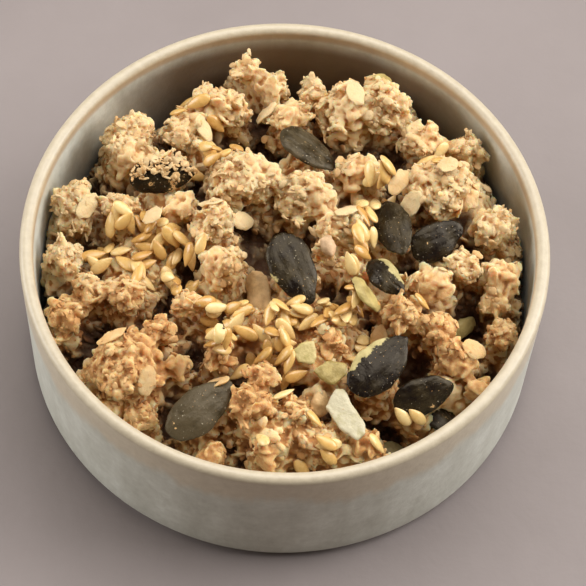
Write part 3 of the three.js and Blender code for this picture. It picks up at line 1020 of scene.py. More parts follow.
masses = [bake(mass) for mass in masses]
print("baked:", [triangles(mass) for mass in masses], "triangles")

# %% Crumbs and shreds over all of it
LOOSE = {
    "oat_crumbs": dict(apart=1.2, size=(0.4, 1.35), tilt=1.2),
    "oat_shreds": dict(apart=2.1, size=(0.5, 1.2), tilt=0.7),
}


def loose_on(bases, kind, first_seed):
    lots = []
    for number, base in enumerate(bases):
        note_free_places(base, patchy=kind == "oat_crumbs")
        lots.append(strew(base, kind, seed=first_seed + number, **LOOSE[kind]))
    return joined(lots, kind)


crumbs = loose_on(masses, "oat_crumbs", 51)
shreds = loose_on(masses, "oat_shreds", 61)
print("crumbs:", triangles(crumbs), "and shreds:", triangles(shreds), "triangles")

# %% [markdown]
# ### Where it is hollow, and where it is deep
# The oats are painted darker where shade falls: in the seams between bits, in hollows, and down in
# the gaps between clusters. Each point of a mass notes how far it lies inside the mean of its
# neighbours, near and wide, and how far it lies below the blurred height map of the heap. The colours
# follow these notes.

# %% How hollow each place is, and how deep it lies below the heights around it
def neighbours_mean(mesh, values, rounds):
    edges = np.empty(2 * len(mesh.edges), np.int32)
    mesh.edges.foreach_get("vertices", edges)
    a, b = edges.reshape(-1, 2).T
    count = np.bincount(a, minlength=len(values)) + np.bincount(b, minlength=len(values))
    for _ in range(rounds):
        columns = [np.bincount(a, v[b], len(v)) + np.bincount(b, v[a], len(v)) for v in values.T]
        values = (np.stack(columns, 1) + values) / (count + 1)[:, None]
    return values


def note_hollows(piece):
    points = points_of(piece.data) / MM
    normals = normals_of(piece.data)
    for name, rounds in (("crease", 4), ("hollow", 24)):
        around = neighbours_mean(piece.data, points, rounds)
        inward = ((around - points) * normals).sum(1)
        note(piece.data, name, inward)
        print(piece.name, name, np.percentile(inward, (5, 25, 50, 75, 95)).round(3), "mm")


def blurred(values, radius):
    reach = int(2.5 * radius / CELL)
    weights = np.exp(-0.5 * (np.arange(-reach, reach + 1) * CELL / radius) ** 2)
    weights /= weights.sum()
    for axis in (0, 1):
        values = np.apply_along_axis(np.convolve, axis, values, weights, "same")
    return values


def note_depth(piece):
    points = points_of(piece.data) / MM
    note(piece.data, "depth", map_at(level, points) - points[:, 2])


WIDE_BLUR, NEAR_BLUR = 4.5, 1.6
in_bowl = (np.hypot(*np.meshgrid(GRID, GRID)) < INNER_TOP).astype(float)
heap_map = height_map(*masses)
level = blurred(heap_map * in_bowl, WIDE_BLUR) / np.maximum(blurred(in_bowl, WIDE_BLUR), 1e-3)
nearby = blurred(heap_map, NEAR_BLUR)
for piece in [*masses, crumbs, shreds]:
    note_depth(piece)
# Crumbs and shreds note how far they lie below the heap nearby, for the painted shade in hollows.
for piece in (crumbs, shreds):
    points = points_of(piece.data) / MM
    note(piece.data, "hollow", 0.5 * (map_at(nearby, points) - points[:, 2]))
for mass in masses:
    note_hollows(mass)
print("level of the heap:", round(level[in_bowl > 0].min(), 1), "to", round(level.max(), 1), "mm")

# %% [markdown]
# ### The colour of baked oats
# All the oat pieces share one effect: golden where it is baked and cream where a flake broke, with
# painted shade laid over it: creases darker and bumps lighter, a warm brown in the seams and hollows,
# nearly black down in the gaps, and darker and redder towards the front of the bowl, where the light
# from behind leaves the clusters in shade. It is a node group with named inputs, built once and placed
# in each material with its own values. It gives colours, roughness and a height for the bump; the
# shader itself stays in the material.

# %% Shared effect: baked oat
# The first three colours are painted shade, laid over the oats in seams and hollows and down in the
# gaps between clusters, where shade falls.
GAP_SHADE = (0.042, 0.015, 0.0045)
BROWN_SHADE = (0.30, 0.115, 0.032)
WARM_SHADE = (0.50, 0.225, 0.070)
RUSSET = (0.48, 0.195, 0.070)
TOASTED = (0.52, 0.262, 0.092)
GOLDEN = (0.69, 0.43, 0.185)
CREAM = (0.72, 0.53, 0.285)


def new_group(name, inputs, outputs):
    group = bpy.data.node_groups.new(name, "ShaderNodeTree")
    for socket in inputs:
        group.interface.new_socket(socket, in_out="INPUT", socket_type="NodeSocketFloat")
    for socket, kind in outputs.items():
        group.interface.new_socket(socket, in_out="OUTPUT", socket_type=kind)
    start = group.nodes.new("NodeGroupInput")
    end = group.nodes.new("NodeGroupOutput")
    return group, start.outputs, end.inputs


def baked_oat_group():
    inputs = ["Tone", "Crease", "Hollow", "Depth", "Paleness"]
    results = {"Color": "NodeSocketColor", "Roughness": "NodeSocketFloat", "Height": "NodeSocketFloat"}
    group, given, result = new_group("baked_oat", inputs, results)
    place = own_place(group)
    apart = put(group, "ShaderNodeSeparateXYZ", Vector=place)
    # Painted shade: towards the front of the bowl the oats are painted darker and redder, for the shade
    # that the light from behind leaves on the near sides of the clusters.
    front_shade = rise_between(group, apart.outputs["Y"], 0.004, -0.020)
    mottle = noise(group, place, 850.0, 4.0, 0.6)
    patch = noise(group, place, 260.0, 2.0)
    cloud = noise(group, place, 90.0, 1.0)
    grain = noise(group, place, 2400.0, 3.0, 0.65)
    clouds = [(mottle, 0.45), (patch, 0.5), (cloud, 0.45)]
    # Painted shade and highlight: creases are painted darker and bumps lighter.
    notes = [(given["Tone"], 0.3), (given["Crease"], -1.4), (front_shade, -0.34)]
    shade = total(group, given["Paleness"], *clouds, *notes)
    baked = ramp(group, shade, [(0.44, TOASTED), (0.68, GOLDEN), (0.98, CREAM)])
    red = rise_between(group, noise(group, place, 520.0, 3.0, 0.6), 0.58, 0.70)
    russet = total(group, 0.2, (front_shade, 0.15))
    painted = tinted(group, baked, red, russet, RUSSET)
    # Painted shade: a warm brown in the seams and hollows, a darker brown in the hollows, more so
    # towards the front, and nearly black down in the gaps between clusters.
    seam = rise_between(group, given["Crease"], 0.01, 0.14)
    painted = tinted(group, painted, seam, 0.85, WARM_SHADE)
    deep = rise_between(group, given["Hollow"], 0.05, 0.65)
    painted = tinted(group, painted, deep, 0.8, WARM_SHADE)
    painted = tinted(group, painted, deep, total(group, 0.1, (front_shade, 0.6)), BROWN_SHADE)
    sunk = rise_between(group, given["Depth"], 1.3, 4.4)
    painted = tinted(group, painted, sunk, 0.95, GAP_SHADE)
    group.links.new(painted, result["Color"])
    group.links.new(total(group, 0.52, (grain, 0.4)), result["Roughness"])
    group.links.new(total(group, grain, (mottle, 1.5)), result["Height"])
    return group


BAKED_OAT = baked_oat_group()


def oat_material(name, paleness, glow, *notes):
    """Baked oat that reads the given notes; `glow` is how much of the light passes through it."""
    material, tree, surface = new_material(name)
    baked = put(tree, "ShaderNodeGroup", {"node_tree": BAKED_OAT}, Paleness=paleness, Tone=0.4)
    for socket in notes:
        feed(tree, baked.inputs[socket], read_note(tree, socket.lower())["Fac"])
    fill(
        tree,
        surface,
        Base_Color=baked.outputs["Color"],
        Roughness=baked.outputs["Roughness"],
        Specular_IOR_Level=0.27,
        Subsurface_Weight=glow,
        Subsurface_Radius=(1.0, 0.55, 0.3),
        Subsurface_Scale=2.4 * MM,
    )
    bumped(tree, surface, baked.outputs["Height"], 0.00025, 0.6)
    return material


def dress(piece, material, node_name):
    piece.data.materials.clear()
    piece.data.materials.append(material)
    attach(piece, "root")
    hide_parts(node_name)


baked_clusters = oat_material("baked_clusters", 0.05, 0.85, "Crease", "Hollow", "Depth")
baked_crumbs = oat_material("baked_crumbs", -0.03, 0.0, "Tone", "Hollow", "Depth")
baked_shreds = oat_material("baked_shreds", 0.02, 0.0, "Tone", "Hollow", "Depth")
for mass in masses:
    dress(mass, baked_clusters, "muesli_heap")
dress(crumbs, baked_crumbs, "muesli_heap")
dress(shreds, baked_shreds, "muesli_heap")

# %% [markdown]
# ## Hulled pumpkin seeds
# A pumpkin seed without its hull is a flat drop with a thin skin, nearly black-green after baking,
# with fine lines from end to end and yellow-green flesh where the edge is chipped. A ball is turned
# on its side, each of its rings is resized to draw the point out, and the whole is flattened. Shallow
# grooves are pressed along its upper face, and noise makes the outline uneven and the skin wrinkled.
# Its own length, width and thickness are noted at each point, so that the lines in the skin follow
# the seed however it lies.

# %% Model a drop-shaped seed
FAT_END = 1.04  # how much wider than the ball the blunt end is
DRAWN_OUT = 2.2  # the larger, the nearer to the tip the seed starts to narrow
SORTING_POINT = (3.1, 1.7, 0.9)  # no two faces of the ball are equally far from it


def pick(piece, wanted):
    leave_edit()
    piece.data.vertices.foreach_set("select", np.asarray(wanted, bool))
    bpy.ops.object.mode_set(mode="EDIT")


def deselect_mesh():
    bpy.ops.object.mode_set(mode="EDIT")
    bpy.ops.mesh.select_mode(type="VERT")
    bpy.ops.mesh.select_all(action="DESELECT")


def sort_faces(piece):
    """A ball's faces come in another order each time; in a fixed one, crumbs fall alike each time."""
    cursor = bpy.context.scene.cursor
    cursor.location = SORTING_POINT
    choose(piece)
    edit_all()
    bpy.ops.mesh.sort_elements(type="CURSOR_DISTANCE", elements={"FACE"})
    leave_edit()
    cursor.location = (0, 0, 0)


def drop_shape(name, size, point, segments, rings):
    """A flattened ball drawn out to a point at +x: `point` is how much narrower that end is."""
    bpy.ops.object.select_all(action="DESELECT")
    bpy.ops.mesh.primitive_uv_sphere_add(
        segments=segments, ring_count=rings, radius=1, rotation=(0, math.pi / 2, 0)
    )
    seed = settle(named(name))
    sort_faces(seed)
    along = points_of(seed.data)[:, 0]
    deselect_mesh()
    for place in np.unique(along.round(4)):
        taper = FAT_END - point * (0.5 + 0.5 * place) ** DRAWN_OUT
        pick(seed, abs(along - place) < 1e-3)
        bpy.ops.transform.resize(value=(1, taper, taper), center_override=(0, 0, 0))
        bpy.ops.mesh.select_all(action="DESELECT")
    bpy.ops.mesh.select_all(action="SELECT")
    half = [v / 2 * MM for v in size]
    bpy.ops.transform.resize(value=half, center_override=(0, 0, 0))
    leave_edit()
    note(seed.data, "own_place", points_of(seed.data) / half)
    bpy.ops.object.shade_smooth()
    return seed


def lay(piece, at, turn, tip, roll):
    piece.matrix_world = Matrix.Translation(Vector(at) * MM) @ lie_of(turn, tip, roll).to_4x4()
    return settle(piece)

# %% Press grooves and wrinkles along a seed
SQUEEZE = 0.3
GROOVES = [(-0.36, 0.06), (0.12, 0.09), (0.52, 0.05)]  # place across the half width, and depth in mm
GROOVE_HALF = 0.07  # half the width of a groove, as a share of the half width
GROOVE_REACH = 4.4  # how far a groove runs from the middle of the seed, in mm


def resized(piece, *value):
    choose(piece)
    edit_all()
    bpy.ops.transform.resize(value=value, center_override=(0, 0, 0))
    leave_edit()


def press_grooves(seed, width):
    points = points_of(seed.data)
    across = points[:, 1] / (width / 2 * MM)
    for place, depth in GROOVES:
        deselect_mesh()
        in_groove = (abs(across - place) < GROOVE_HALF) & (abs(points[:, 0]) < GROOVE_REACH * MM)
        pick(seed, in_groove & (points[:, 2] > 0))
        bpy.ops.transform.translate(value=(0, 0, -depth * MM))
    leave_edit()


def wrinkle_along(seed):
    """Noise pressed in while the seed is squeezed short is drawn out lengthwise when it grows back."""
    resized(seed, SQUEEZE, 1, 1)
    uneven(seed, "seed_wrinkle", size=1.5, depth=0.17)
    apply_modifiers(seed)
    resized(seed, 1 / SQUEEZE, 1, 1)

# %% Model each pumpkin seed
SEED_POINT = 0.38
SEED_PLAY = (0.3, 0.3, 0.35)  # how much smaller it starts, because the noise makes it swell


def pumpkin_seed(place, facts, number):
    length, width = facts["size"]
    size = [full - play for full, play in zip((length, width, PUMPKIN_THICK), SEED_PLAY)]
    seed = drop_shape("pumpkin_seed_" + place + "_skin", size, SEED_POINT, 64, 40)
    away = Vector((number * 0.05, 0, 0))
    press_grooves(seed, width)
    seed.data.transform(Matrix.Translation(away))
    uneven(seed, "seed_outline", size=3.2, depth=0.8, middle=0.55, direction="Y")
    uneven(seed, "seed_swell", size=4.5, depth=0.7)
    uneven(seed, "seed_pits", size=0.9, depth=0.12)
    apply_modifiers(seed)
    seed.data.transform(Matrix.Translation(-away))
    wrinkle_along(seed)
    note_all(seed, "tone", facts.get("grey", 0.3))
    note_all(seed, "bare", facts.get("bare", 0.0))
    note_all(seed, "crusted", facts.get("crusted", 0.0))
    return lay(seed, facts["at"], facts["turn"], facts["tip"], facts["roll"])


seeds = {
    place: pumpkin_seed(place, facts, number)
    for number, (place, facts) in enumerate(PUMPKIN_SEEDS.items())
}
print("pumpkin seeds:", len(seeds), "of", triangles(seeds["middle"]), "triangles")

# %% Pumpkin skin
SKIN_DARKS = [  # black, olive and dusty
    (0.42, (0.008, 0.005, 0.004)),
    (0.58, (0.026, 0.018, 0.008)),
    (0.74, (0.075, 0.056, 0.030)),
]
SEED_FLESH = [(0.4, (0.33, 0.26, 0.10)), (0.62, (0.55, 0.46, 0.21))]
DUST_SPECKS = (0.60, 0.52, 0.38)
SKIN_GLOSS = (1.0, 0.86, 0.66)


def skin_material():
    material, tree, surface = new_material("pumpkin_skin")
    own = read_note(tree, "own_place")["Vector"]
    grey = read_note(tree, "tone")["Fac"]
    bare = read_note(tree, "bare")["Fac"]
    place = own_place(tree)
    lines = noise(tree, stretched(tree, own, (1.8, 10, 4)), 1.6, 5.0, 0.65)
    cloud = noise(tree, place, 300.0, 4.0, 0.6)
    grain = noise(tree, place, 1900.0, 3.0, 0.6)
    # A seed's grey lifts its colour; on the lower left seed this is partly a dusty skin and partly
    # painted sheen.
    shade = total(tree, times(tree, lines, 0.15), (cloud, 0.75), (grey, 0.3))
    skin = ramp(tree, shade, SKIN_DARKS)
    apart = put(tree, "ShaderNodeSeparateXYZ", Vector=own)
    to_edge = times(tree, apart.outputs["Y"], bare)
    chipped = total(tree, to_edge, (cloud, 0.9), (grain, 0.25))
    flesh = rise_between(tree, chipped, 1.12, 1.20)
    painted = mix(tree, flesh, skin, ramp(tree, cloud, SEED_FLESH))
    crust = total(tree, cloud, (grain, 0.35), (read_note(tree, "crusted")["Fac"], 0.09))
    crumbs_in = rise_between(tree, crust, 0.87, 0.90)
    painted = mix(tree, crumbs_in, painted, colour(*GOLDEN))
    speck = rise_between(tree, grain, 0.66, 0.72)
    painted = tinted(tree, painted, speck, 0.7, DUST_SPECKS)
    rough = total(tree, 0.04, (lines, 0.12), (cloud, 0.32), (flesh, 0.3))
    fill(tree, surface, Base_Color=painted, Roughness=rough)
    fill(tree, surface, Specular_IOR_Level=0.26, Specular_Tint=colour(*SKIN_GLOSS))
    bumped(tree, surface, total(tree, times(tree, lines, 0.35), (grain, 0.5)), 0.00024, 0.6)
    return material


SKIN = skin_material()
for place, seed in seeds.items():
    dress(seed, SKIN, "pumpkin_seed_" + place)

# %% [markdown]
# ### Crumbs that stick to the seeds
# A fine dust of crumbs lies on every seed. The one at the back left carries more: flakes, shreds and
# crumbs of oat cover its raised half in a ragged crust. They are strewn from the same shelves as
# those of the clusters, on the upper face of each seed, and then the shelves are cleared away.

# %% Strew crumbs on the seeds
def note_sticky_places(seed, crusted):
    """Patches of the upper face, or a ragged part of its raised half on the crusted seed."""
    own = np.empty(3 * len(seed.data.vertices), np.float32)
    seed.data.attributes["own_place"].data.foreach_get("vector", own)
    own = own.reshape(-1, 3)
    along, across, up = own.T
    sticky = up > 0.15
    if crusted:
        ragged = 0.35 * np.sin(8 * along + 1.5 * np.sin(5 * across)) + 0.2 * np.sin(19 * along)
        sticky &= 0.9 * across + 0.2 * along + ragged > 0.12
    else:
        sticky &= np.sin(4 * along) + np.sin(6 * across + 2 * along) > 0.3
    note(seed.data, "free_place", sticky.astype(float))


def crumbs_on_seeds():
    for place, facts in PUMPKIN_SEEDS.items():
        note_sticky_places(seeds[place], "crusted" in facts)
    crusted = seeds["back_left_crusted"]
    tops = [copied(seed, "seed_tops") for seed in seeds.values() if seed is not crusted]
    others = joined(tops, "seed_tops")
    lots = [
        strew(crusted, "oat_broken_flakes", apart=1.7, size=(0.3, 0.7), tilt=0.6, seed=81),
        strew(crusted, "oat_shreds", apart=0.8, size=(0.3, 1.1), tilt=1.0, seed=82),
        strew(crusted, "oat_crumbs", apart=0.6, size=(0.3, 1.2), tilt=1.0, seed=84),
        strew(others, "oat_crumbs", apart=1.1, size=(0.06, 0.24), tilt=1.2, seed=83),
    ]
    bpy.data.objects.remove(others)
    return joined(lots, "crumbs_on_seeds")


seed_crumbs = crumbs_on_seeds()
for name in ("depth", "hollow"):
    note_all(seed_crumbs, name, 0)
dress(seed_crumbs, baked_crumbs, "muesli_heap")
print("crumbs on seeds:", triangles(seed_crumbs), "triangles")
for shelf in shelves.values():
    for bit in list(shelf.objects):
        bpy.data.objects.remove(bit)
    bpy.data.collections.remove(shelf)

# %% [markdown]
# ## Chips of pale kernel
# Three broken chips of kernel lie at the front: thin plates with a ragged outline, cream, green and
# olive. The outline starts as a flat face whose corners are pulled to their places; it is thickened,
# remeshed into small even faces, and its surface and broken edge are dented.

# %% Model each chip
CHIP_SHRINK = 0.97
CHIP_PLAY = 0.3  # how much thinner it starts, because the noise makes it swell
OUTLINES = {  # the corners of each, in millimetres from its middle
    "front_white": [
        (-5, 2.6),
        (-3.7, 3.6),
        (-0.8, 2.3),
        (3.8, 1.1),
        (5.2, -0.4),
        (4.9, -2.4),
        (0.8, -2.8),
        (-4.2, -1.4),
    ],
    "middle_green": [(-2.6, 0), (-0.4, 1.5), (2.2, 1.6), (2.3, -1.6), (1.3, -3), (-1.4, -2)],
    "middle_olive": [(-2.9, -0.8), (-0.6, 1.9), (2.9, 2.3), (3.6, 0.4), (1.8, -2.5), (-0.6, -2)],
}


def chip(place, facts):
    outline = OUTLINES[place]
    bpy.ops.object.select_all(action="DESELECT")
    bpy.ops.mesh.primitive_circle_add(vertices=len(outline), radius=MM, fill_type="NGON")
    plate = named("kernel_chip_" + place + "_flesh")
    put_points(plate.data, np.array([(x, y, 0) for x, y in outline]) * CHIP_SHRINK * MM)
    edit_all()
    bpy.ops.mesh.normals_make_consistent(inside=False)
    leave_edit()
    add_modifier(plate, "SOLIDIFY", thickness=(CHIP_THICK - CHIP_PLAY) * MM, offset=0)
    add_modifier(plate, "BEVEL", width=0.35 * MM, segments=2)
    add_modifier(plate, "REMESH", mode="VOXEL", voxel_size=0.22 * MM)
    uneven(plate, "broken_edge", size=0.8, depth=0.25, middle=0.6)
    uneven(plate, "warped_face", size=5, depth=0.6)
    apply_modifiers(plate)
    bpy.ops.object.shade_smooth_by_angle(angle=math.radians(45))
    points = points_of(plate.data)
    note(plate.data, "own_place", points / (CHIP_THICK / 2 * MM))
    return lay(plate, facts["at"], facts["turn"], facts["tip"], facts["roll"])


def flesh_material(name, pale, green, share):
    material, tree, surface = new_material(name)
    place = own_place(tree)
    patch = noise(tree, place, 420.0, 4.0, 0.6)
    grain = noise(tree, place, 2200.0, 3.0)
    flesh = ramp(tree, patch, [(share - 0.08, green), (share + 0.08, pale)])
    speck = rise_between(tree, grain, 0.66, 0.72)
    painted = tinted(tree, flesh, speck, 0.5, TOASTED)
    fill(tree, surface, Base_Color=painted, Roughness=total(tree, 0.38, (grain, 0.3)))
    bumped(tree, surface, calc(tree, "ADD", patch, grain), 0.0002, 0.5)
    return material


FLESH = {  # the pale tint, the green one, and the share of the pattern at which they meet
    "front_white": ((0.56, 0.50, 0.33), (0.48, 0.42, 0.23), 0.42),
    "middle_green": ((0.58, 0.46, 0.19), (0.44, 0.35, 0.11), 0.46),
    "middle_olive": ((0.47, 0.35, 0.12), (0.28, 0.20, 0.05), 0.50),
}
chips = {place: chip(place, facts) for place, facts in KERNEL_CHIPS.items()}
for place, plate in chips.items():
    flesh = flesh_material("kernel_" + place, *FLESH[place])
    dress(plate, flesh, "kernel_chip_" + place)
print("chips:", {place: triangles(plate) for place, plate in chips.items()})

# %% [markdown]
# ## Strewn linseed
# Golden linseed lies in drifts, each seed resting on whatever is under it. A height map of the heap
# is taken by dropping plumb lines on it. A seed is then laid by the rule of a small flat thing: it
# takes the slope of the ground under its outline, rests on the higher bits, and raises the map where
# it lies, so that the next seed lies on top of it.

# %% Height map of everything laid so far
ground = height_map(*masses, crumbs, shreds, seed_crumbs, *seeds.values(), *chips.values())
print("height map:", ground.shape, "highest", round(ground.max(), 1), "mm")

# %% Lay a small flat thing on the ground
STEEPEST = 0.9
RAISED = 0.55  # height of its middle above what it rests on, as a share of its half thickness
RESTS_ABOVE = 88  # percent of the ground under it that stays below it


def ground_under(x, y, turn, half):
    c, s = math.cos(turn), math.sin(turn)
    east, north = np.meshgrid(GRID - x, GRID - y)
    along, across = east * c + north * s, north * c - east * s
    share = (along / half[0]) ** 2 + (across / half[1]) ** 2
    return along, across, share


def slope_under(along, across, heights):
    """How steeply the plane that fits the ground best rises along and across the thing."""
    sums = np.stack([np.ones_like(along), along, across], 1)
    _, ahead, aside = np.linalg.lstsq(sums, heights, rcond=None)[0]
    return np.clip(ahead, -STEEPEST, STEEPEST), np.clip(aside, -STEEPEST, STEEPEST)


def rest_on_ground(x, y, turn, half, high=RESTS_ABOVE):
    """The middle and the turn of a thing that settles at x, y, and raises the ground there."""
    along, across, share = ground_under(x, y, turn, half)
    under = share < 1
    if under.sum() < 4:
        return None
    a, b, heights = along[under], across[under], ground[under]
    ahead, aside = slope_under(a, b, heights)
    lift = np.percentile(heights - ahead * a - aside * b, high)
    thick = half[2] * np.sqrt(1 - share[under])
    middle = lift + RAISED * half[2]
    ground[under] = np.maximum(heights, middle + ahead * a + aside * b + thick)
    length_way = Vector((math.cos(turn), math.sin(turn), ahead)).normalized()
    side_way = Vector((-math.sin(turn), math.cos(turn), aside)).normalized()
    up = length_way.cross(side_way).normalized()
    side_way = up.cross(length_way)
    lie = Matrix((length_way, side_way, up)).transposed().to_4x4()
    return Matrix.Translation(Vector((x, y, middle)) * MM) @ lie

# %% Linseed drifts
LINSEED = (5.0, 2.6, 1.25)
DRIFTS = [  # middle and half size of each, the way its seeds point and how far they stray from it
    dict(at=(-9.6, -13.4), half=(5.4, 3.2), way=24, stray=30, count=15),
    dict(at=(-1.2, -15.6), half=(3.6, 2.6), way=105, stray=40, count=9),
    dict(at=(7.4, -13.6), half=(5.6, 3.4), way=12, stray=60, count=17),
    dict(at=(14.2, -15.4), half=(3.4, 4.4), way=70, stray=60, count=12),
    dict(at=(-6, -20.6), half=(8, 3.2), way=-30, stray=80, count=16),
    dict(at=(2.6, -26.6), half=(3.6, 4.6), way=60, stray=60, count=7),
    dict(at=(-28, 0.6), half=(8.6, 7.4), way=40, stray=90, count=34),
    dict(at=(-18.6, -3.6), half=(4.6, 5.6), way=100, stray=60, count=10),
    dict(at=(15, 4.8), half=(2.6, 5), way=110, stray=25, count=10),
    dict(at=(16.6, 12.4), half=(3.8, 4.4), way=60, stray=70, count=12),
    dict(at=(15.2, -4.6), half=(4.4, 3), way=-30, stray=40, count=7),
    dict(at=(-15, 21.4), half=(5.5, 4.4), way=-20, stray=40, count=9),
    dict(at=(-20.6, 32), half=(5, 2.6), way=10, stray=30, count=3),
    dict(at=(6, -38.5), half=(13, 4), way=0, stray=90, count=10),
    dict(at=(-12, -26), half=(6, 4.6), way=30, stray=60, count=5),
    dict(at=(24, -33), half=(5, 2.6), way=-10, stray=20, count=5),
    dict(at=(0, 0), half=(40, 38), way=0, stray=90, count=16),
]


DRIFT_REACH = INNER_TOP - 3.2


def scatter_seeds(model, half, seed):
    chance = random.Random(seed)
    laid = []
    for drift in DRIFTS:
        for _ in range(drift["count"]):
            out = math.sqrt(chance.random())
            side = chance.uniform(0, 2 * math.pi)
            x = drift["at"][0] + drift["half"][0] * out * math.cos(side)
            y = drift["at"][1] + drift["half"][1] * out * math.sin(side)
            turn = math.radians(drift["way"] + drift["stray"] * chance.uniform(-1, 1))
            turn += math.pi * chance.randint(0, 1)
            size = chance.uniform(0.86, 1.08)
            if math.hypot(x, y) > DRIFT_REACH or not left_free(spot_on_ground(x, y), 0.9, 9)[0]:
                continue
            place = rest_on_ground(x, y, turn, [h * size for h in half])
            if place is not None:
                laid.append(copy_at(model, place @ Matrix.Scale(size, 4), chance.random()))
    return laid


def spot_on_ground(x, y):
    """The place of a seed's middle when it lies at x, y."""
    height = map_at(ground, np.array([[x, y, 0]]))[0]
    return np.array([[x, y, height]]) * MM


def copy_at(model, place, tone):
    made = copied(model, model.name)
    note_all(made, "tone", tone)
    made.data.transform(place)
    return made


linseed_model = drop_shape("linseed_model", LINSEED, 0.62, 12, 10)
half_linseed = [v / 2 for v in LINSEED]
linseed = joined(scatter_seeds(linseed_model, half_linseed, 5), "linseed")
bpy.data.objects.remove(linseed_model)
keep_in_room(linseed)
print("linseed:", triangles(linseed), "triangles")

# %% Linseed skin
LINSEED_GOLDS = [(0.2, (0.54, 0.28, 0.070)), (0.5, (0.75, 0.465, 0.145)), (0.85, (0.87, 0.65, 0.29))]
LINSEED_EDGE = (0.60, 0.30, 0.08)
LINSEED_TIP = (0.50, 0.25, 0.08)


def linseed_material():
    material, tree, surface = new_material("golden_linseed")
    own = put(tree, "ShaderNodeSeparateXYZ", Vector=read_note(tree, "own_place")["Vector"])
    tone = read_note(tree, "tone")["Fac"]
    cloud = noise(tree, own_place(tree), 600.0, 3.0)
    shade = total(tree, times(tree, tone, 0.65), (cloud, 0.45))
    skin = ramp(tree, shade, LINSEED_GOLDS)
    edge = rise_between(tree, calc(tree, "ABSOLUTE", own.outputs["Y"]), 0.75, 1.0)
    painted = tinted(tree, skin, edge, 0.35, LINSEED_EDGE)
    tip = rise_between(tree, own.outputs["X"], 0.6, 1.0)
    painted = tinted(tree, painted, tip, 0.5, LINSEED_TIP)
    fill(tree, surface, Base_Color=painted, Roughness=total(tree, 0.16, (cloud, 0.24)))
    fill(tree, surface, Coat_Weight=0.25, Coat_Roughness=0.2)
    bumped(tree, surface, cloud, 0.00008, 0.4)
    return material


dress(linseed, linseed_material(), "muesli_heap")

# %% [markdown]
# ## Rolled oats and broken kernels
# Whole rolled oats lie here and there on the clusters: thin ovals, warped, with a ragged edge. A few
# broken kernels stick out of the gaps: half a tan seed beside the middle pumpkin seed, a pale nodule
# to its right, greenish bits at the back and at the right, a tan and a dark one in front. Each is
# laid on the heap by the same rule as the linseed.

# %% Model a rolled oat and a broken kernel
def model_flake(name, size, number):
    flake = drop_shape(name, size, 0.12, 24, 14)
    away = Vector((number * 0.03, 0.02, 0))
    flake.data.transform(Matrix.Translation(away))
    uneven(flake, name + "_edge", size=1.3, depth=0.9, direction="X")
    uneven(flake, name + "_side", size=1.1, depth=0.8, direction="Y")
    uneven(flake, name + "_warp", size=2.8, depth=1.1, direction="Z")
    uneven(flake, name + "_grain", size=0.6, depth=0.2)
    apply_modifiers(flake)
    flake.data.transform(Matrix.Translation(-away))
    return flake


ROLLED_OAT = (6.0, 3.7, 1.0)
ROLLED_OATS = [  # where each lies, and which way its length points
    (20.9, 13.7, 60),
    (23.4, 10.4, 50),
    (-16.9, 26.2, 120),
    (-9.9, 23.8, 10),
    (-25.3, 4.5, -40),
    (-14.4, 7.4, -20),
    (-8.4, 6.2, 30),
    (18.5, -15.7, 80),
    (-11.3, -28.2, -8),
    (-31, -22, 20),
    (11.4, 6.9, 40),
    (30, 17, 70),
    (-5, 31, 30),
    (12, 33, 100),
    (-38, 8, 60),
    (36, -19, 10),
    (-24, -30, 80),
]
KERNELS = {  # size, place, turn, and tint: 0 pale, 0.35 tan, 0.7 pale green, 1 dark olive
    "tan_half": dict(size=(9, 5.6, 1.8), at=(-4.6, -7.4), turn=-72, tint=0.35),
    "pale_nodule": dict(size=(4.6, 3, 2.6), at=(8.1, -1.3), turn=-70, tint=0.0),
    "green_back": dict(size=(4.2, 3, 1.6), at=(17.4, 38.6), turn=20, tint=0.7),
    "hollow_right": dict(size=(6.4, 3.6, 1.8), at=(34.7, -8.8), turn=40, tint=0.8),
    "green_fan": dict(size=(8.4, 4.6, 1.4), at=(15.4, -12.2), turn=-34, tint=0.7),
    "tan_by_chip": dict(size=(5.2, 3.8, 2), at=(8.0, -31.0), turn=80, tint=0.35),
    "dark_low": dict(size=(7, 4, 1.4), at=(22.6, -35), turn=10, tint=1.0),
}


BITS_REST_ABOVE = 80  # percent: they lie a little deeper in the bumps than the linseed


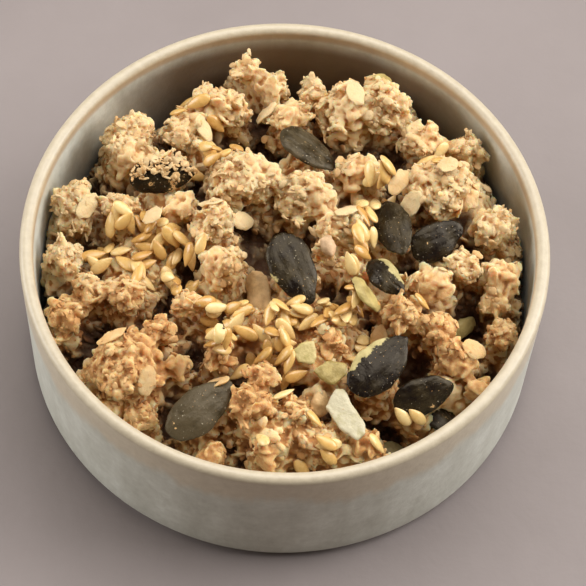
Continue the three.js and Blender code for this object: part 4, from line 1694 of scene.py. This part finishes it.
def copies_laid(laid, model_of):
    copies = []
    for number, (x, y, turn) in enumerate(laid):
        model, half, tone = model_of(number)
        place = rest_on_ground(x, y, math.radians(turn), half, BITS_REST_ABOVE)
        copies.append(copy_at(model, place, tone))
        bpy.data.objects.remove(model)
    return copies


def oat_model(number):
    model = model_flake("rolled_oat", ROLLED_OAT, number)
    return model, [v / 2 for v in ROLLED_OAT], (number * 0.37) % 1


def kernel_model(number):
    facts = list(KERNELS.values())[number]
    model = model_flake("kernel", facts["size"], number + 30)
    return model, [v / 2 for v in facts["size"]], facts["tint"]


rolled_oats = joined(copies_laid(ROLLED_OATS, oat_model), "rolled_oats")
kernel_places = [(*facts["at"], facts["turn"]) for facts in KERNELS.values()]
kernels = joined(copies_laid(kernel_places, kernel_model), "broken_kernels")
for piece in (rolled_oats, kernels):
    keep_in_room(piece)
    note_depth(piece)
print("rolled oats:", triangles(rolled_oats), "and kernels:", triangles(kernels), "triangles")

# %% Colours of the rolled oats and the kernels
KERNEL_TINTS = [  # pale, tan, green and dark olive
    (0.0, (0.76, 0.52, 0.31)),
    (0.35, (0.68, 0.45, 0.21)),
    (0.7, (0.54, 0.42, 0.15)),
    (1.0, (0.16, 0.12, 0.05)),
]
KERNEL_SHADES = [(0.35, (0.62, 0.58, 0.52)), (0.62, (1.0, 1.0, 1.0))]


def kernel_material():
    material, tree, surface = new_material("broken_kernel")
    place = own_place(tree)
    tint = read_note(tree, "tone")["Fac"]
    patch = noise(tree, place, 380.0, 4.0, 0.6)
    grain = noise(tree, place, 1800.0, 3.0)
    flesh = ramp(tree, tint, KERNEL_TINTS)
    painted = mix(tree, 1.0, flesh, ramp(tree, patch, KERNEL_SHADES), "MULTIPLY")
    fill(tree, surface, Base_Color=painted, Roughness=total(tree, 0.36, (grain, 0.3)))
    surface.inputs["Specular IOR Level"].default_value = 0.3
    bumped(tree, surface, total(tree, patch, (grain, 0.6)), 0.0003, 0.7)
    return material


rolled_oat = oat_material("rolled_oat", 0.18, 0.3, "Tone", "Depth")
dress(rolled_oats, rolled_oat, "muesli_heap")
dress(kernels, kernel_material(), "muesli_heap")
